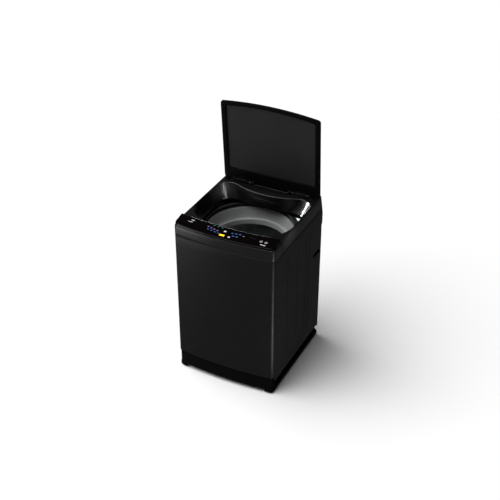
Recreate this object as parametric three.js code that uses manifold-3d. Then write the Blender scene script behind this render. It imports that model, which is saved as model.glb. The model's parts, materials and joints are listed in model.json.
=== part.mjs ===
// Top load washing machine: a bowed steel cabinet with a moulded top, a glass lid on rear
// hinges, and a belt-driven drum hung on four sprung rods. Millimetres, +Z up, front towards -Y,
// origin on the floor under the middle of the machine with its lid open.
import * as THREE from "three";
import { mergeVertices } from "three/addons/utils/BufferGeometryUtils.js";
import Module from "manifold-3d";

const wasm = await Module();
wasm.setup();

// Driving dimensions: cabinet
const halfWidth = 286;
const deckZ = 928;
const frontY = -320;
const frontBow = 20;
const frontCornerRadius = 22;
const rearY = 302;
const rearCornerRadius = 8;
const sheet = 1.2;
const gap = 0.3;
const eps = 1;
const sideBottomZ = 28;
const plinthTopZ = 110;
const plinthBottomZ = 25;
const plinthRecess = 4;
const plinthWall = 3;
const plinthSideY = -278;
const baseBottomZ = 10;
const baseRingWidth = 30;
const fasciaDrop = 73;
const fasciaBottomZ = deckZ - fasciaDrop;
const ribWidth = 10;
const ribDepth = 2;
const ribs = [
  { y: -137, low: 140, high: 800 },
  { y: -13, low: 222, high: 780 },
  { y: 94, low: 190, high: 764 },
  { y: 137, low: 160, high: 784 },
];
const gripY = 238.5;
const gripZ = 597;
const gripLength = 92;
const gripHeight = 34;
const gripPocketLength = 84;
const gripPocketHeight = 18;
const gripDepth = 28;
const gripWall = 2;

// Driving dimensions: feet
const footInset = 24;
const footX = halfWidth - footInset;
const footY = 262;
const footRadius = 20;
const footHeight = 9.7;
const footStem = { radius: 5, top: 44 };
const footBlock = 44;

// Driving dimensions: moulded top
const topRearY = 280;
const topWall = 3;
const panelSideMargin = 4;
const panelHalfWidth = halfWidth - panelSideMargin;
const panelFrontY = -322;
const panelBow = 22;
const panelCornerRadius = 26;
const panelRearMiddleY = -237;
const panelRearBow = 20;
const panelRise = { seat: -13, front: -1, rear: 12 };
const panelSeatZ = deckZ + panelRise.seat;
const panelFrontZ = deckZ + panelRise.front;
const panelRearZ = deckZ + panelRise.rear;
const trimWidth = 2;
const fasciaWall = 3;
const fasciaSideY = -217;
const fasciaOverlap = 4;
const fasciaTopZ = panelSeatZ + fasciaOverlap;
const buttonRadius = 8.5;
const buttonProud = 0.6;
const buttonLength = 16;
const buttonsXY = [
  { name: "power_button", x: 197, y: -268 },
  { name: "start_button", x: 224, y: -268 },
];

// Driving dimensions: well in the moulded top
const drumY = -6;
const drumRadius = 240;
const wellDepth = 82;
const mouthZ = deckZ - wellDepth;
const deckMargin = 10;
const mouthMargin = 3;
const wellHalf = { deck: halfWidth - deckMargin, mouth: drumRadius + mouthMargin };
const wellFront = { deck: 215, mouth: 208, power: 3 };
const wellRear = { deck: 216, mouth: 184, power: 7 };
const wellWall = 3;
const bulgeFrontY = 161;
const bulgeRadius = 432;
const troughMargin = 24;
const troughDepth = 23;
const trough = {
  halfWidth: halfWidth - troughMargin,
  front: 228,
  rear: 275,
  floor: deckZ - troughDepth,
};
const drawerDrop = { low: 64, high: 31 };
const drawer = {
  halfWidth: 90,
  low: deckZ - drawerDrop.low,
  high: deckZ - drawerDrop.high,
  rear: 262,
  wall: 2,
};
const drawerClearance = 1.5;
const consoleFrontY = 151;

// Driving dimensions: lid and hinge
const hingeY = 255;
const hingeDrop = 3;
const hingeZ = deckZ - hingeDrop;
const lidOpenDegrees = 85.5;
const lidSideMargin = 2;
const lidHalfWidth = halfWidth - lidSideMargin;
const lidThickness = 11.7;
const lidRearReach = 10;
const lidShoulder = 5;
const tongueMargin = 6;
const lidTongueHalfWidth = trough.halfWidth - tongueMargin;
const lidFrontGap = 1.5;
const lidCornerRadius = 16;
const windowSideMargin = 28.25;
const windowHalfWidth = lidHalfWidth - windowSideMargin;
const windowRear = 65.75;
const windowFrontMargin = 22.8;
const glassInset = 6;
const glassThickness = 4;
const bracket = { inner: 150, outer: 210, radius: 12 };
const knuckles = [
  [130, 147],
  [213, 230],
];
const knuckleRadius = 9;
const notch = { inner: 97, reach: 16 };
const pinRadius = 4;
const pinFrom = 118;
const damper = { inner: 100, outer: 126, radius: 8 };

// Driving dimensions: rear shroud and water connections
const shroudSideMargin = 4;
const shroudRise = { top: 3.5, knee: -115, bottom: -185, inlet: -88 };
const shroud = {
  top: deckZ + shroudRise.top,
  ridgeY: 283,
  rear: 315,
  kneeZ: deckZ + shroudRise.knee,
  bottom: deckZ + shroudRise.bottom,
  halfWidth: halfWidth - shroudSideMargin,
  wall: 3,
};
const inletXs = [-190, -150];
const inletZ = deckZ + shroudRise.inlet;
const inletRadius = 13.2;
const inletBore = 8;
const inletEndY = 322;
const glandPlace = { x: 200, z: 690 };

// Driving dimensions: tub, drum and drive
const tubClearance = 22;
const tub = { radius: drumRadius + tubClearance, wall: 4, bottom: 205, floor: 6, top: 815, bore: 32 };
const coverOverlap = { inner: 4, outer: 2 };
const tubCover = {
  inner: drumRadius - coverOverlap.inner,
  outer: tub.radius + coverOverlap.outer,
  high: 829,
  plate: 6,
  upstand: 4,
};
const basket = { radius: drumRadius, wall: 1.5, bottom: 226.3, top: 714.7, bore: 20, kick: 12 };
const ringWidth = { mouth: 11, throat: 38 };
const ring = {
  top: 809,
  mouth: drumRadius - ringWidth.mouth,
  throat: drumRadius - ringWidth.throat,
  lip: 4,
};
const washShaftRadius = 9;
const spinTube = { radius: 16, bottom: 118 };
const pulsatorRadius = 165;
const pulsatorBottom = 230;
const bladeCount = 6;
const runningClearance = 0.3;
const motorX = 165;
const motorRadius = 62;
const motorShaftRadius = 6;
const drivePulley = { radius: 75, core: 69 };
const motorPulley = { radius: 28, core: 22 };
const pulleyBottom = 66;
const pulleyFlange = 4;
const grooveHeight = 16;
const beltThickness = 5;
const frameThickness = 8.7;
const hangerOffset = 212;
const hangerRod = { radius: 4, bottom: 240, collar: 15, collarHeight: 6, ball: 9 };
const hangerPlateZ = 797;
const hangerPlateThickness = 3;
const earZ = 300;
const earHeight = 22;
const earMargin = 14.2;
const springRadius = 13;
const drainX = -150;
const drainY = 94;
const drainValveRadius = 24;
const drainBore = 15;
const hoseRadius = 14;
const hoseBore = 10;
const hoseZ = 170;
const hoseEndY = 262;
const hoseEndZ = 72;
const outletZ = 52;
const drainRodZ = 184;
const lintFilter = { halfWidth: 45, thickness: 18, low: 380, high: 600 };

// Geometry helpers: every helper returns a closed BufferGeometry.
function toSolid(geometry) {
  const bare = geometry.index ? geometry.toNonIndexed() : geometry.clone();
  bare.deleteAttribute("normal");
  bare.deleteAttribute("uv");
  const merged = mergeVertices(bare, 1e-3);
  const vertProperties = merged.attributes.position.array;
  const triVerts = new Uint32Array(merged.index.array);
  return new wasm.Manifold(new wasm.Mesh({ numProp: 3, vertProperties, triVerts }));
}

function toGeometry(solid) {
  const mesh = solid.getMesh();
  const geometry = new THREE.BufferGeometry();
  geometry.setAttribute("position", new THREE.BufferAttribute(new Float32Array(mesh.vertProperties), 3));
  geometry.setIndex(new THREE.BufferAttribute(new Uint32Array(mesh.triVerts), 1));
  return geometry;
}

function join(...geometries) {
  return toGeometry(geometries.map(toSolid).reduce((whole, next) => whole.add(next)));
}

function cut(base, ...tools) {
  return toGeometry(tools.map(toSolid).reduce((whole, next) => whole.subtract(next), toSolid(base)));
}

function common(base, tool) {
  return toGeometry(toSolid(base).intersect(toSolid(tool)));
}

function box(x0, x1, y0, y1, z0, z1) {
  const geometry = new THREE.BoxGeometry(x1 - x0, y1 - y0, z1 - z0);
  return geometry.translate((x0 + x1) / 2, (y0 + y1) / 2, (z0 + z1) / 2);
}

// A prism that stands on z0 and reaches z1, from a closed list of plan points.
function prism(points, z0, z1) {
  const settings = { depth: z1 - z0, bevelEnabled: false };
  return new THREE.ExtrudeGeometry(new THREE.Shape(points), settings).translate(0, 0, z0);
}

// A prism along X from a closed list of [y, z] points.
function sideProfile(points, x0, x1) {
  const shape = new THREE.Shape(points.map(([y, z]) => new THREE.Vector2(y, z)));
  const geometry = new THREE.ExtrudeGeometry(shape, { depth: x1 - x0, bevelEnabled: false });
  const turned = new THREE.Matrix4().makeBasis(
    new THREE.Vector3(0, 1, 0),
    new THREE.Vector3(0, 0, 1),
    new THREE.Vector3(1, 0, 0),
  );
  return geometry.applyMatrix4(turned).translate(x0, 0, 0);
}

// A solid of revolution about the vertical line through (x, y), from [radius, z] points.
function turned(profile, x = 0, y = drumY, segments = 36) {
  const points = profile.map(([r, z]) => new THREE.Vector2(r, z));
  const closed = profile[0][0] > 0 ? [...points, points[0].clone()] : points;
  return new THREE.LatheGeometry(closed, segments).rotateX(Math.PI / 2).translate(x, y, 0);
}

function upright(radius, x, y, z0, z1, segments = 16) {
  return new THREE.CylinderGeometry(radius, radius, z1 - z0, segments)
    .rotateX(Math.PI / 2)
    .translate(x, y, (z0 + z1) / 2);
}

function alongX(radius, x0, x1, y, z, segments = 16) {
  return new THREE.CylinderGeometry(radius, radius, x1 - x0, segments)
    .rotateZ(Math.PI / 2)
    .translate((x0 + x1) / 2, y, z);
}

function alongY(radius, y0, y1, x, z, segments = 16) {
  return new THREE.CylinderGeometry(radius, radius, y1 - y0, segments).translate(x, (y0 + y1) / 2, z);
}

function arc(cx, cy, radius, from, to, steps) {
  return Array.from({ length: steps + 1 }, (_, i) => {
    const angle = from + ((to - from) * i) / steps;
    return new THREE.Vector2(cx + radius * Math.cos(angle), cy + radius * Math.sin(angle));
  });
}

// Plan outline with straight sides and back, rounded corners and one large arc as its front.
function bowedOutline({ half, front, bow, rear, frontRadius, rearRadius, steps = 12 }) {
  const bowRadius = (half * half + bow * bow) / (2 * bow);
  const centreY = front + bowRadius;
  const cornerX = half - frontRadius;
  const cornerY = centreY - Math.sqrt((bowRadius - frontRadius) ** 2 - cornerX ** 2);
  const touch = Math.atan2(cornerY - centreY, cornerX);
  const top = Math.PI / 2;
  return [
    ...arc(cornerX, cornerY, frontRadius, touch, 0, 5),
    ...arc(half - rearRadius, rear - rearRadius, rearRadius, 0, top, 2),
    ...arc(rearRadius - half, rear - rearRadius, rearRadius, top, 2 * top, 2),
    ...arc(-cornerX, cornerY, frontRadius, Math.PI, Math.PI - touch, 5),
    ...arc(0, centreY, bowRadius, Math.PI - touch - 2 * Math.PI, touch, steps).slice(1, -1),
  ];
}

function cabinetOutline(inset, rear = rearY) {
  return bowedOutline({
    half: halfWidth - inset,
    front: frontY + inset,
    bow: frontBow,
    rear: rear - inset,
    frontRadius: Math.max(frontCornerRadius - inset, 2),
    rearRadius: Math.max(rearCornerRadius - inset, 1),
  });
}

// Everything in front of the control panel's bowed rear edge, moved back by offset.
function frontRegion(offset, z0, z1) {
  const radius = (lidHalfWidth ** 2 + panelRearBow ** 2) / (2 * panelRearBow);
  const reach = Math.asin((halfWidth + 20) / radius);
  const middle = -Math.PI / 2;
  const edge = arc(0, panelRearMiddleY + offset + radius, radius, middle + reach, middle - reach, 16);
  const far = [-1, 1].map((side) => new THREE.Vector2(side * (halfWidth + 20), frontY - 40));
  return prism([...far, ...edge], z0, z1);
}

// A closed skin through loops that hold the same number of points, capped at both ends.
function loft(loops) {
  const count = loops[0].length;
  const positions = loops.flat().flatMap((p) => [p.x, p.y, p.z]);
  const index = [];
  for (let level = 0; level < loops.length - 1; level++) {
    for (let i = 0; i < count; i++) {
      const next = (i + 1) % count;
      const [a, b] = [level * count + i, level * count + next];
      index.push(a, b, a + count, b, b + count, a + count);
    }
  }
  const last = (loops.length - 1) * count;
  for (const [a, b, c] of THREE.ShapeUtils.triangulateShape(loops[0], [])) {
    index.push(a, c, b);
    index.push(last + a, last + b, last + c);
  }
  const geometry = new THREE.BufferGeometry();
  geometry.setAttribute("position", new THREE.Float32BufferAttribute(positions, 3));
  geometry.setIndex(index);
  return geometry;
}

// One level of the well, whose walls draw in from the deck to its mouth.
function wellLoop(offset, z) {
  const count = 64;
  const share = (z - mouthZ) / (deckZ - mouthZ);
  const wide = ({ deck, mouth }) => mouth + (deck - mouth) * share + offset;
  return Array.from({ length: count }, (_, i) => {
    const angle = (2 * Math.PI * i) / count;
    const side = Math.sin(angle) < 0 ? wellFront : wellRear;
    const across = Math.abs(Math.cos(angle)) / wide(wellHalf);
    const along = Math.abs(Math.sin(angle)) / wide(side);
    const radius = (across ** side.power + along ** side.power) ** (-1 / side.power);
    return new THREE.Vector3(radius * Math.cos(angle), drumY + radius * Math.sin(angle), z);
  });
}

function wellSpace(offset, low, high) {
  return loft([wellLoop(offset, low), wellLoop(offset, high)]);
}

// Parts: cabinet
function cabinetShell() {
  const wall = cut(
    prism(cabinetOutline(0), sideBottomZ, fasciaBottomZ - gap),
    prism(cabinetOutline(sheet), sideBottomZ - eps, fasciaBottomZ),
    box(-halfWidth - eps, halfWidth + eps, rearY - 12, rearY + eps, 0, fasciaBottomZ),
    box(-halfWidth - eps, halfWidth + eps, frontY - eps, plinthSideY, 0, plinthTopZ),
  );
  const raised = [];
  const pressed = [];
  for (const side of [-1, 1]) {
    for (const rib of ribs) {
      raised.push(ribBlock(side, rib, halfWidth - sheet - ribDepth, halfWidth - sheet / 2, ribWidth));
      pressed.push(ribBlock(side, rib, halfWidth - ribDepth, halfWidth + eps, ribWidth - 2 * sheet));
    }
    pressed.push(gripWindow(side));
  }
  const plates = hangerPlaces().map(hangerPlate);
  return cut(join(wall, ...raised, ...plates), ...pressed, ...hangerPlaces().map(hangerHole));
}

function ribBlock(side, rib, inner, outer, width) {
  const x = [side * inner, side * outer].sort((a, b) => a - b);
  const trim = (ribWidth - width) / 2;
  return box(x[0], x[1], rib.y - width / 2, rib.y + width / 2, rib.low + trim, rib.high - trim);
}

function sideBox(side, inner, outer, y0, y1, z0, z1) {
  const x = [side * inner, side * outer].sort((a, b) => a - b);
  return box(x[0], x[1], y0, y1, z0, z1);
}

function gripWindow(side) {
  const [l, h] = [gripLength / 2, gripHeight / 2];
  return sideBox(side, halfWidth - 8, halfWidth + eps, gripY - l, gripY + l, gripZ - h, gripZ + h);
}

function handGrip(side) {
  const [l, h] = [gripLength / 2 - gap, gripHeight / 2 - gap];
  const [pl, ph] = [gripPocketLength / 2, gripPocketHeight / 2];
  const inner = halfWidth - gripDepth;
  const body = sideBox(side, inner, halfWidth - gap, gripY - l, gripY + l, gripZ - h, gripZ + h);
  const floor = inner + gripWall;
  const pocket = sideBox(side, floor, halfWidth + eps, gripY - pl, gripY + pl, gripZ - ph, gripZ + ph);
  return cut(body, pocket);
}

function hangerPlaces() {
  return [
    { name: "front_left", x: -hangerOffset, y: drumY - hangerOffset },
    { name: "front_right", x: hangerOffset, y: drumY - hangerOffset },
    { name: "rear_left", x: -hangerOffset, y: drumY + hangerOffset },
    { name: "rear_right", x: hangerOffset, y: drumY + hangerOffset },
  ];
}

function hangerPlate({ x, y }) {
  const top = hangerPlateZ + hangerPlateThickness;
  return sideBox(Math.sign(x), Math.abs(x) - 20, halfWidth - sheet / 2, y - 24, y + 24, hangerPlateZ, top);
}

function hangerHole({ x, y }) {
  return upright(hangerRod.radius + gap, x, y, hangerPlateZ - eps, hangerPlateZ + 10, 12);
}

function rearPanel() {
  const half = halfWidth - sheet - gap;
  const plate = box(-half, half, rearY - 2 * sheet, rearY - sheet, sideBottomZ, shroud.bottom - gap);
  const flanges = [-1, 1].map((side) =>
    sideBox(side, half - sheet, half, rearY - 12, rearY - 1.5 * sheet, sideBottomZ, shroud.bottom - gap),
  );
  const stiffener = box(-half + 40, half - 40, rearY - 2 * sheet - 4, rearY - 1.5 * sheet, 380, 392);
  const gland = alongY(9, rearY - 20, rearY + eps, glandPlace.x, glandPlace.z);
  const outlet = alongY(hoseRadius + gap, rearY - 20, rearY + eps, drainX, outletZ);
  return cut(join(plate, ...flanges, stiffener), gland, outlet);
}

function cordGland() {
  const barrel = alongY(9 - gap, rearY - 14, rearY, glandPlace.x, glandPlace.z);
  const collar = alongY(13, rearY - sheet + gap, rearY + 5, glandPlace.x, glandPlace.z);
  const bore = alongY(4, rearY - 16, rearY + 6, glandPlace.x, glandPlace.z, 16);
  return cut(join(barrel, collar), bore);
}

function footPlaces() {
  return [
    { name: "foot_front_left", x: -footX, y: -footY },
    { name: "foot_front_right", x: footX, y: -footY },
    { name: "foot_rear_left", x: -footX, y: footY },
    { name: "foot_rear_right", x: footX, y: footY },
  ];
}

function baseFrame() {
  const outer = prism(cabinetOutline(sheet), baseBottomZ, sideBottomZ - gap);
  const inner = prism(cabinetOutline(baseRingWidth), baseBottomZ - eps, sideBottomZ + eps);
  const frontCut = box(-footX + footBlock / 2, footX - footBlock / 2, frontY - 5, -200, 0, plinthBottomZ);
  const tray = cut(outer, inner);
  const plinth = cut(
    prism(cabinetOutline(plinthRecess), plinthBottomZ, plinthTopZ - gap),
    prism(cabinetOutline(plinthRecess + plinthWall), 0, plinthTopZ + eps),
    box(-halfWidth, halfWidth, plinthSideY - gap, rearY + eps, 0, plinthTopZ + eps),
  );
  const blocks = footPlaces().map(({ x, y }) => {
    const half = footBlock / 2;
    const edge = Math.min(half, halfWidth - 4 * sheet - Math.abs(x));
    return sideBox(Math.sign(x), Math.abs(x) - half, Math.abs(x) + edge, y - half, y + half, 12, 48);
  });
  const holes = footPlaces().map(({ x, y }) => upright(footStem.radius + gap, x, y, 0, 60, 16));
  return cut(join(tray, plinth, ...blocks), frontCut, ...holes);
}

function foot({ x, y }) {
  const stem = footStem.radius;
  const profile = [
    [0, 0],
    [footRadius - 2, 0],
    [footRadius, 2.5],
    [footRadius - 1.5, footHeight],
    [stem, footHeight],
    [stem, footStem.top],
    [0, footStem.top],
  ];
  return turned(profile, x, y, 20);
}

// Parts: moulded top
function bulge(offset) {
  return upright(bulgeRadius + offset, 0, bulgeFrontY + bulgeRadius, mouthZ, deckZ, 120);
}

// The moulded top in one, before the rear console is parted from it.
function mouldedTop() {
  const outside = prism(cabinetOutline(0, topRearY), fasciaBottomZ, deckZ);
  const inside = prism(cabinetOutline(topWall, topRearY), fasciaBottomZ - eps, deckZ - topWall);
  const t = trough;
  const tray = box(-t.halfWidth - 3, t.halfWidth + 3, t.front - 3, topRearY - 1, t.floor - 3, deckZ);
  const troughSpace = box(-t.halfWidth, t.halfWidth, t.front, t.rear, t.floor, deckZ + eps);
  const chute = drawer.halfWidth + drawerClearance;
  const chuteShell = box(-chute - 3, chute + 3, 200, drawer.rear + 5, drawer.low - 5, t.floor - 2);
  const chuteSpace = box(
    -chute,
    chute,
    bulgeFrontY - 10,
    drawer.rear + drawerClearance,
    drawer.low - drawerClearance,
    drawer.high + drawerClearance,
  );
  const well = cut(wellSpace(0, mouthZ - eps, deckZ + eps), bulge(0));
  const ledge = box(-halfWidth + 1, halfWidth - 1, frontY + 20, -205, panelSeatZ - topWall, panelSeatZ);
  const body = join(
    cut(outside, inside),
    wellSpace(wellWall, mouthZ, deckZ - 1),
    common(ledge, prism(cabinetOutline(1, topRearY), 0, deckZ)),
    tray,
    chuteShell,
  );
  return cut(
    body,
    well,
    frontRegion(gap, panelSeatZ, deckZ + 20),
    fasciaBlock(-gap, fasciaBottomZ - eps, deckZ + eps),
    troughSpace,
    chuteSpace,
    ...buttonsXY.map(({ x, y }) => upright(buttonRadius + 1, x, y, panelSeatZ - 10, deckZ)),
  );
}

function behindConsoleFront(clearance) {
  const low = mouthZ - 10;
  return box(-halfWidth - 1, halfWidth + 1, consoleFrontY - clearance, rearY, low, deckZ + 1);
}

function topCover() {
  return cut(mouldedTop(), behindConsoleFront(gap));
}

function rearConsole() {
  return common(mouldedTop(), behindConsoleFront(0));
}

// The band round the front that the fascia fills; a negative inset leaves clearance round it.
function fasciaBlock(inset, low, high) {
  return cut(
    prism(cabinetOutline(-eps), low, high),
    prism(cabinetOutline(fasciaWall - inset), low - eps, high + eps),
    box(-halfWidth - 10, halfWidth + 10, fasciaSideY - inset, rearY + 10, low - eps, high + eps),
  );
}

function frontFascia() {
  const low = fasciaBottomZ + gap;
  const top = fasciaTopZ;
  const band = common(fasciaBlock(0, low, top), prism(cabinetOutline(0), low, top));
  const rounding = cut(
    prism(cabinetOutline(-eps), top - 4, top + eps),
    loft([
      cabinetOutline(0).map((p) => new THREE.Vector3(p.x, p.y, top - 5)),
      cabinetOutline(0.9).map((p) => new THREE.Vector3(p.x, p.y, top - 2)),
      cabinetOutline(2.2).map((p) => new THREE.Vector3(p.x, p.y, top + 2)),
    ]),
  );
  return cut(band, rounding);
}

function panelOutline() {
  return bowedOutline({
    half: panelHalfWidth,
    front: panelFrontY,
    bow: panelBow,
    rear: 0,
    frontRadius: panelCornerRadius,
    rearRadius: 1,
  });
}

function panelSlopeZ(y) {
  const share = (y - panelFrontY) / (panelRearMiddleY - panelFrontY);
  return panelFrontZ + share * (panelRearZ - panelFrontZ);
}

function controlPanel() {
  const high = panelRearZ + 60;
  const block = common(prism(panelOutline(), fasciaTopZ + gap, panelRearZ), frontRegion(0, 0, high));
  const above = sideProfile(
    [
      [panelFrontY - 10, panelSlopeZ(panelFrontY - 10)],
      [panelRearMiddleY, panelRearZ],
      [0, panelRearZ],
      [0, high],
      [panelFrontY - 10, high],
    ],
    -halfWidth,
    halfWidth,
  );
  const holes = buttonsXY.map(({ x, y }) => upright(buttonRadius + gap, x, y, panelSeatZ, high, 20));
  return cut(block, above, ...holes);
}

function controlTrim() {
  const strip = cut(
    frontRegion(gap + trimWidth, deckZ + gap, panelRearZ + 0.4),
    frontRegion(gap, deckZ, panelRearZ + 1),
  );
  return common(strip, box(-panelHalfWidth, panelHalfWidth, frontY, 0, 0, panelRearZ + 1));
}

function button({ x, y }) {
  const top = panelSlopeZ(y) + buttonProud;
  return turned(
    [
      [0, top - buttonLength],
      [buttonRadius, top - buttonLength],
      [buttonRadius, top - 0.8],
      [buttonRadius - 0.8, top],
      [0, top],
    ],
    x,
    y,
    20,
  );
}

function controlBoard() {
  const low = panelSeatZ - 30;
  const plate = box(-170, 245, -300, -248, low, low + 1.6);
  const relays = [-120, -70, 20, 110].map((x) => box(x, x + 24, -292, -268, low + 1, low + 16));
  const display = box(-60, 10, -294, -262, low - 6, low + 1);
  return join(plate, ...relays, display);
}

function detergentDrawer() {
  const d = drawer;
  const blank = box(-d.halfWidth, d.halfWidth, bulgeFrontY - 10, d.rear, d.low, d.high);
  const front = upright(bulgeRadius, 0, bulgeFrontY + bulgeRadius, d.low - eps, d.high + eps, 120);
  const backWall = d.rear - d.wall;
  const rooms = [
    box(-d.halfWidth + d.wall, 18, bulgeFrontY + 18, backWall, d.low + d.wall, d.high + eps),
    box(20, d.halfWidth - d.wall, bulgeFrontY + 18, backWall, d.low + d.wall, d.high + eps),
  ];
  return cut(common(blank, front), ...rooms);
}

function lidSwitch() {
  const side = lidTongueHalfWidth;
  return box(side - 18, side, trough.front + 6, trough.front + 22, trough.floor + gap, hingeZ + 1);
}

// Parts: hinge, modelled in place
function hingeBracket(side) {
  const { inner, outer, radius } = bracket;
  const [front, rear] = [hingeY - radius, hingeY + radius];
  const foundation = sideBox(side, inner, outer, front, rear, trough.floor + gap, hingeZ);
  const barrel = alongX(radius, ...spanX(side, inner, outer), hingeY, hingeZ);
  const bore = alongX(pinRadius + gap, ...spanX(side, inner - eps, outer + eps), hingeY, hingeZ, 20);
  return cut(join(foundation, barrel), bore);
}

function spanX(side, inner, outer) {
  return [side * inner, side * outer].sort((a, b) => a - b);
}

function lidDamper(side) {
  const { inner, outer, radius } = damper;
  const foundation = sideBox(side, inner + 3, outer - 3, hingeY - 6, hingeY + 6, trough.floor + gap, hingeZ);
  const barrel = alongX(radius, ...spanX(side, inner, outer), hingeY, hingeZ);
  const bore = alongX(pinRadius + gap, ...spanX(side, pinFrom - eps, outer + eps), hingeY, hingeZ, 20);
  return cut(join(foundation, barrel), bore);
}

// Parts: lid, modelled closed about the hinge line, x across and y from the hinge to the rear
const lidLow = deckZ + gap - hingeZ;
const lidHigh = lidLow + lidThickness;

function lidOutline(inset) {
  const front = panelRearMiddleY + trimWidth + lidFrontGap - hingeY + inset;
  return bowedOutline({
    half: lidHalfWidth - inset,
    front,
    bow: panelRearBow,
    rear: -lidShoulder - inset,
    frontRadius: lidCornerRadius - inset / 2,
    rearRadius: 4,
  });
}

function lidWindow() {
  return bowedOutline({
    half: windowHalfWidth,
    front: panelRearMiddleY + trimWidth + lidFrontGap - hingeY + windowFrontMargin,
    bow: panelRearBow,
    rear: -windowRear,
    frontRadius: 12,
    rearRadius: 8,
  });
}

function lidFrame() {
  const plate = prism(lidOutline(0), lidLow, lidHigh);
  const half = lidTongueHalfWidth;
  const tongue = box(-half, half, -lidShoulder - 8, lidRearReach, lidLow, lidHigh);
  const spans = [-1, 1].flatMap((side) => knuckles.map(([a, b]) => spanX(side, a, b)));
  const barrels = spans.map((span) => alongX(knuckleRadius, ...span, 0, 0));
  const webs = spans.map(([a, b]) => box(a, b, -notch.reach - 6, 0, 0, lidHigh));
  const notches = [-1, 1].flatMap((side) => [
    sideBox(side, notch.inner, knuckles[0][0], -notch.reach, 30, -20, 30),
    sideBox(side, knuckles[0][1], knuckles[1][0], -notch.reach, 30, -20, 30),
  ]);
  const bores = [-1, 1].map((side) => alongX(pinRadius + gap, ...spanX(side, 110, 232), 0, 0, 20));
  return cut(
    join(plate, tongue, ...barrels, ...webs),
    prism(lidWindow(), lidLow - eps, lidHigh + eps),
    prism(lidOutline(glassInset), lidHigh - glassThickness - gap, lidHigh + eps),
    ...notches,
    ...bores,
  );
}

function lidGlass() {
  const pane = prism(lidOutline(glassInset + gap), lidHigh - glassThickness, lidHigh);
  const relief = [-1, 1].map((side) => sideBox(side, notch.inner - 3, knuckles[1][1] + 3, -34, 30, -20, 30));
  return cut(pane, ...relief);
}

function hingePin(side) {
  return alongX(pinRadius, ...spanX(side, pinFrom, knuckles[1][1]), 0, 0, 20);
}

// Parts: rear
function rearShroud() {
  const s = shroud;
  const front = topRearY + gap;
  const skin = [
    [front, s.top],
    [s.ridgeY, s.top],
    [s.rear, s.kneeZ],
    [s.rear, s.bottom],
    [rearY + gap, s.bottom],
    [rearY + gap, s.bottom + s.wall],
    [s.rear - s.wall, s.bottom + s.wall],
    [s.rear - s.wall, s.kneeZ - 1],
    [front + s.wall, s.top - s.wall - 8],
    [front + s.wall, s.top - 30],
    [front, s.top - 30],
  ];
  const cheek = [
    [front, s.top],
    [s.ridgeY, s.top],
    [s.rear, s.kneeZ],
    [s.rear, s.bottom],
    [rearY + gap, s.bottom],
    [rearY + gap, fasciaBottomZ],
    [front, fasciaBottomZ],
  ];
  const cheeks = [-1, 1].map((side) => sideProfile(cheek, ...spanX(side, s.halfWidth - s.wall, s.halfWidth)));
  const holes = inletXs.map((x) => alongY(inletRadius + 1, front, s.rear + 20, x, inletZ));
  return cut(join(sideProfile(skin, -s.halfWidth, s.halfWidth), ...cheeks), ...holes);
}

function inletValve() {
  const [left, right] = inletXs;
  const body = box(left - 18, right + 18, topRearY + 4, topRearY + 14, inletZ - 22, inletZ + 20);
  const spigots = inletXs.map((x) => alongY(inletRadius, topRearY + 12, inletEndY, x, inletZ));
  const bores = inletXs.map((x) => alongY(inletBore, topRearY + 18, inletEndY + eps, x, inletZ, 20));
  return cut(join(body, ...spigots), ...bores);
}

// Parts: tub, hung on the rods
function outerTub() {
  const { radius, wall, bottom, floor, top, bore } = tub;
  const pot = turned([
    [bore, bottom],
    [radius - 30, bottom],
    [radius, bottom + 30],
    [radius, top],
    [radius - wall, top],
    [radius - wall, bottom + 32],
    [radius - 32, bottom + floor],
    [bore, bottom + floor],
  ]);
  const ears = [45, 135, 225, 315].map((degrees) =>
    box(radius - wall / 2, hangerOffset * Math.SQRT2 + earMargin, -17, 17, earZ, earZ + earHeight)
      .rotateZ((degrees * Math.PI) / 180)
      .translate(0, drumY, 0),
  );
  const holes = hangerPlaces().map(({ x, y }) => upright(8, x, y, earZ - eps, earZ + earHeight + eps, 16));
  const drain = upright(drainBore, drainX, drainY, bottom - eps, bottom + floor + eps);
  return cut(join(pot, ...ears), ...holes, drain);
}

function tubCoverRing() {
  const { inner, outer, high, plate, upstand } = tubCover;
  const low = tub.top + gap;
  return turned([
    [inner, low],
    [outer, low],
    [outer, low + plate],
    [inner + upstand, low + plate],
    [inner + upstand, high],
    [inner, high],
  ]);
}

function tubSeal() {
  const inner = spinTube.radius + runningClearance;
  const outer = tub.bore - gap;
  return turned(
    [
      [inner, tub.bottom],
      [outer, tub.bottom],
      [outer, tub.bottom + tub.floor],
      [inner, tub.bottom + tub.floor],
    ],
    0,
    drumY,
    24,
  );
}

function driveFrame() {
  const top = tub.bottom - gap;
  const plate = box(-100, motorX + motorRadius, drumY - 110, drumY + 110, top - frameThickness, top);
  return cut(plate, upright(tub.bore + 4, 0, drumY, top - 20, top + eps, 32));
}

const frameBottom = tub.bottom - gap - frameThickness;

function gearbox() {
  const top = frameBottom - gap;
  const shaftBore = washShaftRadius + runningClearance;
  const tubeBore = spinTube.radius + runningClearance;
  return turned(
    [
      [shaftBore, 96],
      [45, 96],
      [60, 110],
      [70, 130],
      [70, top],
      [tubeBore, top],
      [tubeBore, spinTube.bottom - 0.5],
      [shaftBore, spinTube.bottom - 0.5],
    ],
    0,
    drumY,
    24,
  );
}

function motor() {
  const top = frameBottom - gap;
  const shaftBore = motorShaftRadius + runningClearance;
  const body = turned(
    [
      [shaftBore, 96],
      [motorRadius - 12, 96],
      [motorRadius, 106],
      [motorRadius, top - 12],
      [motorRadius - 14, top],
      [0, top],
      [0, 114],
      [shaftBore, 114],
    ],
    motorX,
    drumY,
    24,
  );
  const fins = Array.from({ length: 8 }, (_, i) =>
    box(motorRadius - 3, motorRadius + 4, -3, 3, 116, 176)
      .rotateZ((i * Math.PI) / 4 + Math.PI / 8)
      .translate(motorX, drumY, 0),
  );
  return join(body, ...fins);
}

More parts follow.
